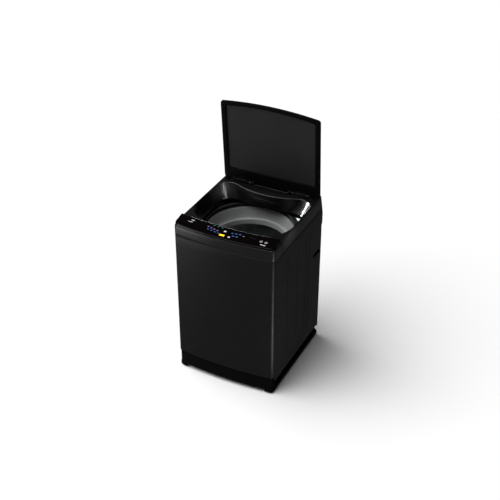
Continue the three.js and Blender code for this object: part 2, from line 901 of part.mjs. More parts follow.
function pulleyProfile(bore, { radius, core }) {
  const low = pulleyBottom;
  const a = low + pulleyFlange;
  const b = a + grooveHeight;
  const c = b + pulleyFlange;
  return [
    [bore, low],
    [radius, low],
    [radius, a],
    [core, a],
    [core, b],
    [radius, b],
    [radius, c],
    [bore, c],
  ];
}

function drivePulleyWheel() {
  return turned(pulleyProfile(washShaftRadius + gap, drivePulley), 0, drumY, 28);
}

function motorPulleyWheel() {
  const wheel = turned(pulleyProfile(motorShaftRadius - 2, motorPulley), motorX, drumY, 18);
  const shaft = upright(motorShaftRadius, motorX, drumY, pulleyBottom - 4, 112, 16);
  return join(wheel, shaft);
}

// The belt's plan: an arc round each pulley, joined by the two straight runs.
function beltOutline(offset) {
  const large = drivePulley.core + offset;
  const small = motorPulley.core + offset;
  const lean = Math.acos((large - small) / motorX);
  return [
    ...arc(motorX, drumY, small, -lean, lean, 10),
    ...arc(0, drumY, large, lean, 2 * Math.PI - lean, 24),
  ];
}

function driveBelt() {
  const low = pulleyBottom + pulleyFlange + 1;
  const high = low + grooveHeight - 2;
  const slack = 0.6;
  const inside = prism(beltOutline(slack), low - eps, high + eps);
  return cut(prism(beltOutline(slack + beltThickness), low, high), inside);
}

function washShaft() {
  return upright(washShaftRadius, 0, drumY, pulleyBottom - 6, 263, 24);
}

function basketHub() {
  const bore = washShaftRadius + runningClearance;
  const top = basket.bottom - gap;
  return turned(
    [
      [bore, spinTube.bottom],
      [spinTube.radius, spinTube.bottom],
      [spinTube.radius, tub.bottom + tub.floor + 2],
      [60, tub.bottom + tub.floor + 3],
      [120, top - 5],
      [120, top],
      [bore, top],
    ],
    0,
    drumY,
    24,
  );
}

function washBasket() {
  const { radius, wall, bottom, top, bore, kick } = basket;
  return turned([
    [bore, bottom],
    [radius - kick, bottom],
    [radius, bottom + kick],
    [radius, top],
    [radius - wall, top],
    [radius - wall, bottom + kick + 0.5],
    [radius - kick - 0.5, bottom + 2],
    [bore, bottom + 2],
  ]);
}

function balanceRing() {
  const low = basket.top + gap;
  return turned([
    [ring.throat, low],
    [basket.radius, low],
    [basket.radius, ring.top - ring.lip],
    [basket.radius - ring.lip, ring.top],
    [ring.mouth, ring.top],
    [ring.throat + 15, ring.top - 60],
    [ring.throat + 2, ring.top - 88],
  ]);
}

function pulsator() {
  const bore = washShaftRadius + gap;
  const low = pulsatorBottom;
  const disc = turned([
    [bore, low],
    [pulsatorRadius - 5, low],
    [pulsatorRadius, low + 4],
    [pulsatorRadius, low + 10],
    [120, low + 22],
    [60, low + 31],
    [bore, low + 34],
  ]);
  const blades = Array.from({ length: bladeCount }, (_, i) =>
    bladeSolid()
      .rotateZ((2 * Math.PI * i) / bladeCount)
      .translate(0, drumY, 0),
  );
  return join(disc, ...blades);
}

// One swept fin on the pulsator: tall near the hub, low at the rim.
function bladeSolid() {
  const low = pulsatorBottom + 6;
  const fin = sideProfile(
    [
      [34, low],
      [150, low],
      [146, low + 10],
      [110, low + 30],
      [60, low + 42],
      [36, low + 40],
    ],
    -7,
    7,
  );
  return fin;
}

function pulsatorCap() {
  const low = pulsatorBottom + 34 + gap;
  return turned(
    [
      [0, low],
      [27, low],
      [25, low + 6],
      [12, low + 10],
      [0, low + 11],
    ],
    0,
    drumY,
    24,
  );
}

function lintFilterBox(side) {
  const { halfWidth: half, thickness, low, high } = lintFilter;
  const back = Math.sqrt((basket.radius - basket.wall - 0.5) ** 2 - half ** 2) - gap;
  const front = back - thickness;
  const body = sideBox(side, front, back, drumY - half, drumY + half, low, high);
  const room = half - 3;
  const pocket = sideBox(side, front + 2, back - 2, drumY - room, drumY + room, low + 3, high + eps);
  return cut(body, pocket);
}

function hangerRodSolid({ x, y }) {
  const { radius, bottom, collar, collarHeight, ball } = hangerRod;
  const seat = hangerPlateZ + hangerPlateThickness + gap;
  return turned(
    [
      [0, bottom],
      [collar, bottom],
      [collar, bottom + collarHeight],
      [radius, bottom + collarHeight],
      [radius, seat],
      [ball, seat],
      [ball - 2, seat + 9],
      [0, seat + 11],
    ],
    x,
    y,
    12,
  );
}

function hangerSpring({ x, y }) {
  const low = hangerRod.bottom + hangerRod.collarHeight + gap;
  const bore = hangerRod.radius + 1;
  return turned(
    [
      [bore, low],
      [springRadius, low],
      [springRadius, earZ - gap],
      [bore, earZ - gap],
    ],
    x,
    y,
    12,
  );
}

// Parts: drain
function drainValve() {
  const top = tub.bottom - gap;
  const body = upright(drainValveRadius, drainX, drainY, hoseZ - 20, top);
  const stub = alongY(hoseRadius, drainY, drainY + 36, drainX, hoseZ);
  const throat = upright(drainBore, drainX, drainY, hoseZ - 14, top + eps);
  const bore = alongY(hoseBore, drainY, drainY + 37, drainX, hoseZ);
  const rodBore = alongY(4 + runningClearance, drainY - 40, drainY, drainX, drainRodZ, 16);
  return cut(join(body, stub), throat, bore, rodBore);
}

function drainMotor() {
  const body = box(drainX - 25, drainX + 25, drumY - 60, drumY, hoseZ - 8, tub.bottom - gap);
  return cut(body, alongY(4 + runningClearance, drumY - 22, drumY + eps, drainX, drainRodZ, 16));
}

function drainRod() {
  return alongY(4, drumY - 8, drainY - 8, drainX, drainRodZ, 16);
}

function drainHose() {
  const bend = 40;
  const start = drainY + 36 + gap;
  const path = new THREE.CurvePath();
  const corner = new THREE.Vector3(drainX, hoseEndY, hoseZ);
  const from = new THREE.Vector3(drainX, hoseEndY - bend, hoseZ);
  const to = new THREE.Vector3(drainX, hoseEndY, hoseZ - bend);
  path.add(new THREE.LineCurve3(new THREE.Vector3(drainX, start, hoseZ), from));
  path.add(new THREE.QuadraticBezierCurve3(from, corner, to));
  path.add(new THREE.LineCurve3(to, new THREE.Vector3(drainX, hoseEndY, hoseEndZ)));
  const wall = new THREE.Shape(arc(0, 0, hoseRadius, 0, 2 * Math.PI, 12).slice(0, -1));
  wall.holes.push(new THREE.Path(arc(0, 0, hoseBore, 0, 2 * Math.PI, 12).slice(0, -1)));
  return new THREE.ExtrudeGeometry(wall, { steps: 10, extrudePath: path, bevelEnabled: false });
}

function drainOutlet() {
  const socket = hoseRadius + 2;
  const low = outletZ - 20;
  const cup = upright(socket + 3, drainX, hoseEndY, low, hoseEndZ + 34);
  const pipe = alongY(hoseRadius, hoseEndY, inletEndY, drainX, outletZ);
  const cupBore = upright(socket, drainX, hoseEndY, low + 6, hoseEndZ + 35);
  const pipeBore = alongY(hoseBore, hoseEndY, inletEndY + eps, drainX, outletZ);
  return cut(join(cup, pipe), cupBore, pipeBore);
}

// Finishes: colour, roughness and metalness
const finishes = {
  graphiteSteel: [0x2b2c2f, 0.42, 0.5],
  glossBlack: [0x0c0c0e, 0.12, 0.0],
  mouldedBlack: [0x141416, 0.38, 0.0],
  plinthBlack: [0x0d0d0e, 0.6, 0.0],
  fasciaGraphite: [0x3a3b3e, 0.35, 0.3],
  silverTrim: [0xb9bbbd, 0.22, 0.9],
  smokedGlass: [0x303134, 0.2, 0.0],
  silverPlastic: [0xb4b6b8, 0.3, 0.4],
  stainless: [0x8d9092, 0.32, 1.0],
  zincSteel: [0x9a9d9f, 0.45, 0.9],
  tubGrey: [0x8f9294, 0.55, 0.0],
  pulsatorGrey: [0x6f7275, 0.4, 0.0],
  castAluminium: [0xa5a8aa, 0.5, 0.9],
  rubber: [0x161616, 0.85, 0.0],
  whitePlastic: [0xd8d8d4, 0.5, 0.0],
  boardGreen: [0x1d4a2c, 0.55, 0.0],
  buttonWhite: [0xd4d6d8, 0.35, 0.0],
};

const machine = new THREE.Group();

function part(name, geometry, finish, parent = machine) {
  const [color, roughness, metalness] = finishes[finish];
  const mesh = new THREE.Mesh(geometry, new THREE.MeshStandardMaterial({ color, roughness, metalness }));
  mesh.name = name;
  parent.add(mesh);
}

const sides = { left: -1, right: 1 };

function buildCabinet() {
  part("cabinet_shell", cabinetShell(), "graphiteSteel");
  part("rear_panel", rearPanel(), "zincSteel");
  part("rear_shroud", rearShroud(), "mouldedBlack");
  part("base_frame", baseFrame(), "plinthBlack");
  part("cord_gland", cordGland(), "rubber");
  for (const place of footPlaces()) part(place.name, foot(place), "rubber");
  for (const [name, side] of Object.entries(sides)) part(`hand_grip_${name}`, handGrip(side), "plinthBlack");
}

function buildTop() {
  part("top_cover", topCover(), "glossBlack");
  part("rear_console", rearConsole(), "glossBlack");
  part("front_fascia", frontFascia(), "fasciaGraphite");
  part("control_panel", controlPanel(), "glossBlack");
  part("control_trim", controlTrim(), "silverTrim");
  for (const place of buttonsXY) part(place.name, button(place), "buttonWhite");
  part("control_board", controlBoard(), "boardGreen");
  part("detergent_drawer", detergentDrawer(), "mouldedBlack");
  part("inlet_valve", inletValve(), "whitePlastic");
  part("lid_switch", lidSwitch(), "plinthBlack");
}

function buildLid() {
  for (const [name, side] of Object.entries(sides)) {
    part(`hinge_bracket_${name}`, hingeBracket(side), "mouldedBlack");
    part(`lid_damper_${name}`, lidDamper(side), "plinthBlack");
  }
  const lid = new THREE.Group();
  lid.position.set(0, hingeY, hingeZ);
  lid.rotation.x = (-lidOpenDegrees * Math.PI) / 180;
  machine.add(lid);
  part("lid_frame", lidFrame(), "mouldedBlack", lid);
  part("lid_glass", lidGlass(), "smokedGlass", lid);
  for (const [name, side] of Object.entries(sides)) {
    part(`hinge_pin_${name}`, hingePin(side), "zincSteel", lid);
  }
}

function buildTub() {
  part("outer_tub", outerTub(), "tubGrey");
  part("tub_cover", tubCoverRing(), "tubGrey");
  part("tub_seal", tubSeal(), "rubber");
  part("drive_frame", driveFrame(), "zincSteel");
  part("gearbox", gearbox(), "castAluminium");
  part("motor", motor(), "castAluminium");
  part("motor_pulley", motorPulleyWheel(), "zincSteel");
  part("drive_pulley", drivePulleyWheel(), "castAluminium");
  part("drive_belt", driveBelt(), "rubber");
  for (const place of hangerPlaces()) {
    part(`suspension_rod_${place.name}`, hangerRodSolid(place), "zincSteel");
    part(`suspension_spring_${place.name}`, hangerSpring(place), "zincSteel");
  }
}

function buildDrum() {
  part("wash_basket", washBasket(), "stainless");
  part("balance_ring", balanceRing(), "silverPlastic");
  part("basket_hub", basketHub(), "castAluminium");
  part("wash_shaft", washShaft(), "zincSteel");
  part("pulsator", pulsator(), "pulsatorGrey");
  part("pulsator_cap", pulsatorCap(), "silverPlastic");
  for (const [name, side] of Object.entries(sides)) {
    part(`lint_filter_${name}`, lintFilterBox(side), "whitePlastic");
  }
}

function buildDrain() {
  part("drain_valve", drainValve(), "whitePlastic");
  part("drain_motor", drainMotor(), "whitePlastic");
  part("drain_rod", drainRod(), "zincSteel");
  part("drain_hose", drainHose(), "rubber");
  part("drain_outlet", drainOutlet(), "plinthBlack");
}

buildCabinet();
buildTop();
buildLid();
buildTub();
buildDrum();
buildDrain();

export default machine;
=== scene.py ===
import json
import math

import bpy
from bpy.props import FloatProperty, FloatVectorProperty, PointerProperty
from mathutils import Matrix, Vector


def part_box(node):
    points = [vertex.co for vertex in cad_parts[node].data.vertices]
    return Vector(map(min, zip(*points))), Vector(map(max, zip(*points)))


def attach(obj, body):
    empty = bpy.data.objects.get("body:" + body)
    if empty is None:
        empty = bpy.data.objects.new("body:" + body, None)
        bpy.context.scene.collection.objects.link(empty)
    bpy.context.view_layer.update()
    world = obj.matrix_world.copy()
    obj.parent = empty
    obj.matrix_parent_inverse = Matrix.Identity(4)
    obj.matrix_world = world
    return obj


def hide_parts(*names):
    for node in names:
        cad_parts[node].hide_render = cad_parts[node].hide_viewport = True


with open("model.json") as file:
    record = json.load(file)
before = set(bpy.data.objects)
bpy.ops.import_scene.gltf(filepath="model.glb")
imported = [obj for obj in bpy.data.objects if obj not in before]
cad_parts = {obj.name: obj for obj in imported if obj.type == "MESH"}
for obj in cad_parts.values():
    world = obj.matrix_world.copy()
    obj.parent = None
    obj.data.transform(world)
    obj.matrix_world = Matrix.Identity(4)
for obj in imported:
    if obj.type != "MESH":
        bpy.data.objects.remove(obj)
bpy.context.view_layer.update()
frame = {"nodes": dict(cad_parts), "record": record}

bl_info = {
    "name": "Top load washing machine",
    "version": (1, 0, 0),
    "blender": (4, 5, 0),
    "location": "View3D > Sidebar > Washer",
    "description": "Builds the fine surfaces, finishes and studio of a top load washing machine",
    "category": "Object",
}

# Places and sizes that come from the frame, in metres.
SHELL_LOW, SHELL_HIGH = map(Vector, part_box("cabinet_shell"))
FASCIA_LOW, FASCIA_HIGH = map(Vector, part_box("front_fascia"))
COVER_LOW, COVER_HIGH = map(Vector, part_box("rear_console"))
PANEL_LOW, PANEL_HIGH = map(Vector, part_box("control_panel"))
TRIM_LOW, TRIM_HIGH = map(Vector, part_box("control_trim"))
BASE_HIGH = Vector(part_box("base_frame")[1])
BASKET_LOW, BASKET_HIGH = map(Vector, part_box("wash_basket"))
RING_LOW, RING_HIGH = map(Vector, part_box("balance_ring"))
DRAWER_LOW, DRAWER_HIGH = map(Vector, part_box("detergent_drawer"))
REAR_LOW, REAR_HIGH = map(Vector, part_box("rear_panel"))
GLASS_HIGH = Vector(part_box("lid_glass")[1])
PIN_LOW, PIN_HIGH = map(Vector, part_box("hinge_pin_left"))
DRUM_AXIS = (BASKET_LOW + BASKET_HIGH) / 2
HINGE_Y = (PIN_LOW.y + PIN_HIGH.y) / 2
HINGE_Z = (PIN_LOW.z + PIN_HIGH.z) / 2
HALF_WIDTH = SHELL_HIGH.x

# The gap left between two pieces that meet, in metres, and a full turn in radians.
GAP = 0.0003
ROUND = 2 * math.pi

# Places and sizes that are modelled here and aren't in the frame, in metres.
WALL_STEEL = 0.0009
WALL_DRUM = 0.0008
PLINTH_SIDE_Y = -0.278
HANGER_TOP = 0.800
GRIP_WINDOW = (0.084, 0.026)
SIDE_PLUG = (0.208, 0.869)
INLET_XS = (-0.190, -0.150)
INLET_Z = 0.840


def length(name, description, default):
    return FloatProperty(name=name, description=description, default=default, unit="LENGTH")


class WasherSizes(bpy.types.PropertyGroup):
    """Sizes of the moulded and pressed shapes."""

    front_bow: length("Front bow", "How far the middle of the front stands out from its corners", 0.020)
    front_corner: length("Front corner radius", "Radius of the cabinet's two front corners", 0.022)
    rear_corner: length("Rear corner radius", "Radius of the cabinet's two rear corners", 0.008)
    deck_height: length("Deck height", "Height of the flat deck that the lid closes on", 0.928)
    deck_edge: length(
        "Deck edge radius", "Radius of the rounding between the deck and the cabinet's sides", 0.010
    )
    lid_bow: length("Lid bow", "How far the lid's front edge is bowed", 0.020)
    lid_corner: length("Lid corner radius", "Radius of the lid's front corners", 0.016)
    lid_open: FloatProperty(
        name="Lid opening",
        description="How far the lid stands open as stored",
        default=math.radians(85.5),
        subtype="ANGLE",
    )
    rib_width: length("Rib width", "Width of the grooves pressed into the cabinet's sides", 0.012)
    rib_depth: length("Rib depth", "Depth of the grooves pressed into the cabinet's sides", 0.0022)


class WasherColours(bpy.types.PropertyGroup):
    """Colours of the main finishes, in linear light."""

    cabinet: FloatVectorProperty(
        name="Cabinet",
        description="Baked enamel on the cabinet's steel",
        default=(0.0075, 0.0076, 0.0080),
        subtype="COLOR",
    )
    fascia: FloatVectorProperty(
        name="Fascia",
        description="Satin metallic lacquer on the front band",
        default=(0.0094, 0.0095, 0.0098),
        subtype="COLOR",
    )


def sizes():
    return bpy.context.scene.washer_sizes


def colours():
    return bpy.context.scene.washer_colours


# Shaping helpers


# Points nearer than this are one point, on a new piece and on a frame part, in metres.
MEETING = 2e-6
MEETING_CAD = 2e-5


def activate(piece):
    """Makes a piece the only selected one and the active one."""
    bpy.ops.object.select_all(action="DESELECT")
    piece.select_set(True)
    bpy.context.view_layer.objects.active = piece


def formed_sheet(name, columns, rows, place):
    """Adds a flat grid and lays each of its crossings (i, j) at place(i, j)."""
    bpy.ops.object.select_all(action="DESELECT")
    bpy.ops.mesh.primitive_grid_add(x_subdivisions=columns, y_subdivisions=rows, size=2)
    piece = bpy.context.object
    piece.name = name
    for vertex in piece.data.vertices:
        i = round((vertex.co.x + 1) / 2 * columns)
        j = round((vertex.co.y + 1) / 2 * rows)
        vertex.co = place(i, j)
    return piece


def weld(piece, cap=False):
    """Merges meeting points, closes open ends if asked, and turns the faces outwards."""
    activate(piece)
    bpy.ops.object.mode_set(mode="EDIT")
    bpy.ops.mesh.select_all(action="SELECT")
    bpy.ops.mesh.remove_doubles(threshold=MEETING)
    if cap:
        bpy.ops.mesh.fill_holes(sides=0)
    bpy.ops.mesh.normals_make_consistent(inside=False)
    bpy.ops.object.mode_set(mode="OBJECT")
    return piece


def modified(piece, kind, **settings):
    """Adds one modifier with its settings and applies it."""
    activate(piece)
    modifier = piece.modifiers.new(kind.lower(), kind)
    for name, value in settings.items():
        setattr(modifier, name, value)
    bpy.ops.object.modifier_apply(modifier=modifier.name)
    return piece


def rounded(piece, width, segments, angle=30):
    """Rounds the edges that are sharper than angle."""
    return modified(
        piece,
        "BEVEL",
        width=width,
        segments=segments,
        limit_method="ANGLE",
        angle_limit=math.radians(angle),
        use_clamp_overlap=False,
        harden_normals=False,
    )


def combined(piece, tool, operation):
    """Joins or cuts a piece with a second closed one, which is used up."""
    modified(piece, "BOOLEAN", object=tool, operation=operation, solver="EXACT")
    bpy.data.objects.remove(tool)
    return piece


def thickened(piece, wall, outward):
    """Gives an open sheet its wall, on the side away from the point outward(centre) names."""
    first = piece.data.polygons[len(piece.data.polygons) // 2]
    if first.normal.dot(outward(first.center)) < 0:
        activate(piece)
        bpy.ops.object.mode_set(mode="EDIT")
        bpy.ops.mesh.select_all(action="SELECT")
        bpy.ops.mesh.flip_normals()
        bpy.ops.object.mode_set(mode="OBJECT")
    return modified(piece, "SOLIDIFY", thickness=wall, offset=-1, use_even_offset=True)


def loops_solid(name, loops, ring=False):
    """A closed solid through loops of points; with ring, the last loop meets the first one."""
    count = len(loops[0])
    shown = loops + [loops[0]] if ring else loops
    piece = formed_sheet(name, count, len(shown) - 1, lambda i, j: shown[j][i % count])
    return weld(piece, cap=not ring)


AXES = {
    "X": lambda across, up, along: (along, across, up),
    "Y": lambda across, up, along: (across, along, up),
    "Z": lambda across, up, along: (across, up, along),
}


def turned(name, profile, centre, axis="Z", *, steps, ring=False):
    """A solid of revolution from (radius, distance along the axis) points."""
    centre = Vector(centre)
    angles = [ROUND * i / steps for i in range(steps)]
    loops = [
        [centre + Vector(AXES[axis](r * math.cos(a), r * math.sin(a), along)) for a in angles]
        for r, along in profile
    ]
    return loops_solid(name, loops, ring)


def block(name, low, high, edge=0.0, segments=3):
    """A box between two corners with rounded edges."""
    low, high = Vector(low), Vector(high)
    bpy.ops.object.select_all(action="DESELECT")
    bpy.ops.mesh.primitive_cube_add(size=1, location=(low + high) / 2, scale=high - low)
    bpy.ops.object.transform_apply(location=True, rotation=True, scale=True)
    piece = bpy.context.object
    piece.name = name
    return rounded(piece, edge, segments) if edge else piece


def arc(cx, cy, radius, start, end, steps):
    """Points round a centre from one angle to another, with both ends."""
    angles = [start + (end - start) * i / steps for i in range(steps + 1)]
    return [(cx + radius * math.cos(a), cy + radius * math.sin(a)) for a in angles]


def straight(start, end, steps):
    """Points between two others, without either of them."""
    return [
        (start[0] + (end[0] - start[0]) * i / steps, start[1] + (end[1] - start[1]) * i / steps)
        for i in range(1, steps)
    ]


def level(outline, z):
    """An outline's points at one height."""
    return [Vector((x, y, z)) for x, y in outline]


def smooth(t):
    """Eases 0 to 1 with level ends."""
    t = min(max(t, 0.0), 1.0)
    return t * t * (3 - 2 * t)


def finish_piece(piece, body, slot, *nodes, angle=35):
    """Smooths a finished piece, gives it its material, puts it on its body, and hides the frame parts it
    replaces.
    """
    activate(piece)
    bpy.ops.object.shade_smooth_by_angle(angle=math.radians(angle))
    piece.data.materials.clear()
    piece.data.materials.append(finish_of(slot))
    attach(piece, body)
    if nodes:
        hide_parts(*nodes)
    return piece


def frame_copy(node, name, edge, segments, angle):
    """A welded copy of a frame part, with its sharp edges rounded."""
    source = frame["nodes"][node]
    piece = source.copy()
    piece.data = source.data.copy()
    piece.name = name
    piece.parent = None
    for key in [k for k in piece.keys() if k.startswith("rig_")]:
        del piece[key]
    bpy.context.collection.objects.link(piece)
    activate(piece)
    bpy.ops.object.mode_set(mode="EDIT")
    bpy.ops.mesh.select_all(action="SELECT")
    bpy.ops.mesh.remove_doubles(threshold=MEETING_CAD)
    bpy.ops.mesh.dissolve_limited(angle_limit=math.radians(0.5))
    bpy.ops.object.mode_set(mode="OBJECT")
    return rounded(piece, edge, segments, angle)


def softened(node, name, body, slot, edge, segments=2, sharp=40, angle=35):
    """Puts a rounded copy of a frame part in the part's place, on its body and with its finish."""
    finish_piece(frame_copy(node, name, edge, segments, sharp), body, slot, node, angle=angle)


# Materials


def linear(code):
    """Turns an sRGB hex colour to linear light."""
    parts = [int(code[i : i + 2], 16) / 255 for i in (1, 3, 5)]
    return tuple(c / 12.92 if c <= 0.04045 else ((c + 0.055) / 1.055) ** 2.4 for c in parts) + (1.0,)


def per_mm(size):
    """The scale of a texture whose features are size millimetres wide."""
    return 1000.0 / size


def put(tree, kind, inputs=None, **settings):
    """Adds one node with its settings; each input is a value or a link from another node's socket."""
    made = tree.nodes.new(kind)
    for name, value in settings.items():
        setattr(made, name, value)
    for name, value in (inputs or {}).items():
        if isinstance(value, bpy.types.NodeSocket):
            tree.links.new(value, made.inputs[name])
        else:
            made.inputs[name].default_value = value
    return made


def new_material(name):
    """A material with its surface node, and the object's own coordinates for its patterns."""
    material = bpy.data.materials.new(name)
    material.use_nodes = True
    tree = material.node_tree
    surface = tree.nodes["Principled BSDF"]
    place = put(tree, "ShaderNodeTexCoord").outputs["Object"]
    return material, tree, surface, place


def set_surface(tree, surface, **inputs):
    """Sets the surface's inputs, each to a value or to a link from another node's socket."""
    for name, value in inputs.items():
        socket = surface.inputs[name.replace("_", " ")]
        if isinstance(value, bpy.types.NodeSocket):
            tree.links.new(value, socket)
        else:
            socket.default_value = value


def spread(tree, value, low, high, start=0.3, end=0.7):
    """Maps a pattern's middle range onto low to high."""
    limits = {"Value": value, "From Min": start, "From Max": end, "To Min": low, "To Max": high}
    return put(tree, "ShaderNodeMapRange", limits).outputs["Result"]


def blend(tree, factor, first, second):
    """Mixes two colours by a factor."""
    inputs = {0: factor, 6: first, 7: second}
    return put(tree, "ShaderNodeMix", inputs, data_type="RGBA").outputs[2]


def moulded(name, code, rough, grain, relief, ior=1.46, specular=0.5):
    """Injection moulded plastic: an even colour under a fine spark-eroded grain."""
    material, tree, surface, place = new_material(name)
    large = put(tree, "ShaderNodeTexNoise", {"Vector": place, "Scale": per_mm(90), "Detail": 2.0})
    fine = put(tree, "ShaderNodeTexNoise", {"Vector": place, "Scale": per_mm(grain), "Detail": 4.0})
    base = linear(code)
    worn = tuple(min(c * 1.25 + 0.0004, 1) for c in base[:3]) + (1.0,)
    bump = put(tree, "ShaderNodeBump", {"Height": fine.outputs["Fac"], "Distance": relief, "Strength": 0.6})
    set_surface(
        tree,
        surface,
        Base_Color=blend(tree, spread(tree, large.outputs["Fac"], 0, 0.6), base, worn),
        Roughness=spread(tree, fine.outputs["Fac"], rough - 0.05, rough + 0.05),
        IOR=ior,
        Specular_IOR_Level=specular,
        Normal=bump.outputs["Normal"],
    )
    return material


def baked_enamel_steel():
    """Graphite enamel baked on sheet steel: dark, satin, with the faint orange peel of sprayed paint."""
    material, tree, surface, place = new_material("baked graphite enamel")
    base = tuple(colours().cabinet) + (1.0,)
    bright = tuple(c * 2.2 for c in base[:3]) + (1.0,)
    peel = put(tree, "ShaderNodeTexNoise", {"Vector": place, "Scale": per_mm(5), "Detail": 1.0})
    flake = put(tree, "ShaderNodeTexVoronoi", {"Vector": place, "Scale": per_mm(1.6)})
    haze = put(tree, "ShaderNodeTexNoise", {"Vector": place, "Scale": per_mm(160), "Detail": 2.0})
    sparkle = spread(tree, flake.outputs["Distance"], 0.5, 0, 0.0, 0.25)
    bump = put(tree, "ShaderNodeBump", {"Height": peel.outputs["Fac"], "Distance": 0.00003, "Strength": 0.35})
    set_surface(
        tree,
        surface,
        Base_Color=blend(tree, sparkle, base, bright),
        Metallic=0.25,
        Roughness=spread(tree, haze.outputs["Fac"], 0.40, 0.47),
        Specular_IOR_Level=0.42,
        Normal=bump.outputs["Normal"],
    )
    return material


def satin_metallic_lacquer():
    """Metallic lacquer on ABS: fine bright flakes in a graphite base under a satin coat."""
    material, tree, surface, place = new_material("satin graphite lacquer")
    base = tuple(colours().fascia) + (1.0,)
    bright = tuple(c * 2.4 for c in base[:3]) + (1.0,)
    flake = put(tree, "ShaderNodeTexVoronoi", {"Vector": place, "Scale": per_mm(1.4)})
    haze = put(tree, "ShaderNodeTexNoise", {"Vector": place, "Scale": per_mm(120), "Detail": 2.0})
    sparkle = spread(tree, flake.outputs["Distance"], 0.7, 0, 0.0, 0.3)
    set_surface(
        tree,
        surface,
        Base_Color=blend(tree, sparkle, base, bright),
        Metallic=0.3,
        Roughness=spread(tree, haze.outputs["Fac"], 0.36, 0.42),
        Coat_Weight=0.3,
        Coat_Roughness=0.25,
    )
    return material


def black_abs_skin():
    """Black ABS skin: near black with a soft gloss, and a faint haze of handling."""
    rough = 0.24
    material, tree, surface, place = new_material("satin black ABS skin")
    haze = put(tree, "ShaderNodeTexNoise", {"Vector": place, "Scale": per_mm(55), "Detail": 5.0})
    swirl = put(tree, "ShaderNodeTexNoise", {"Vector": place, "Scale": per_mm(1.5), "Detail": 2.0})
    bump = put(
        tree,
        "ShaderNodeBump",
        {"Height": swirl.outputs["Fac"], "Distance": 0.000005, "Strength": 0.2},
    )
    set_surface(
        tree,
        surface,
        Base_Color=linear("#0a0a0b"),
        Roughness=spread(tree, haze.outputs["Fac"], rough * 0.95, rough * 1.08),
        IOR=1.52,
        Specular_IOR_Level=0.5,
        Normal=bump.outputs["Normal"],
    )
    return material


def brushed_metal(name, code, rough, stretch, grain):
    """Drawn or brushed metal: fine scratches that run one way."""
    material, tree, surface, place = new_material(name)
    along = put(tree, "ShaderNodeMapping", {"Vector": place, "Scale": stretch})
    scratch = put(
        tree,
        "ShaderNodeTexNoise",
        {"Vector": along.outputs["Vector"], "Scale": per_mm(grain), "Detail": 3.0},
    )
    bump = put(
        tree,
        "ShaderNodeBump",
        {"Height": scratch.outputs["Fac"], "Distance": 0.00001, "Strength": 0.4},
    )
    base = linear(code)
    dark = tuple(c * 0.8 for c in base[:3]) + (1.0,)
    set_surface(
        tree,
        surface,
        Base_Color=blend(tree, spread(tree, scratch.outputs["Fac"], 0, 1), dark, base),
        Metallic=1.0,
        Roughness=spread(tree, scratch.outputs["Fac"], rough - 0.05, rough + 0.08),
        Normal=bump.outputs["Normal"],
    )
    return material


def cast_metal(name, code, rough):
    """As-cast aluminium: matt, with a sandy skin and slight staining."""
    material, tree, surface, place = new_material(name)
    sand = put(tree, "ShaderNodeTexNoise", {"Vector": place, "Scale": per_mm(2.5), "Detail": 5.0})
    stain = put(tree, "ShaderNodeTexNoise", {"Vector": place, "Scale": per_mm(40), "Detail": 3.0})
    bump = put(tree, "ShaderNodeBump", {"Height": sand.outputs["Fac"], "Distance": 0.0002, "Strength": 0.7})
    base = linear(code)
    dark = tuple(c * 0.6 for c in base[:3]) + (1.0,)
    set_surface(
        tree,
        surface,
        Base_Color=blend(tree, spread(tree, stain.outputs["Fac"], 0, 1), dark, base),
        Metallic=1.0,
        Roughness=spread(tree, sand.outputs["Fac"], rough - 0.08, rough + 0.1),
        Normal=bump.outputs["Normal"],
    )
    return material

# The drum's water holes: how many go round, the height of a row and the pitch along it, in metres.
HOLES_ROUND = 108
HOLE_RISE = 0.022
HOLE_PITCH = 0.014
# The height of one turn of the suspension springs' wire.
COIL_RISE = 0.0052


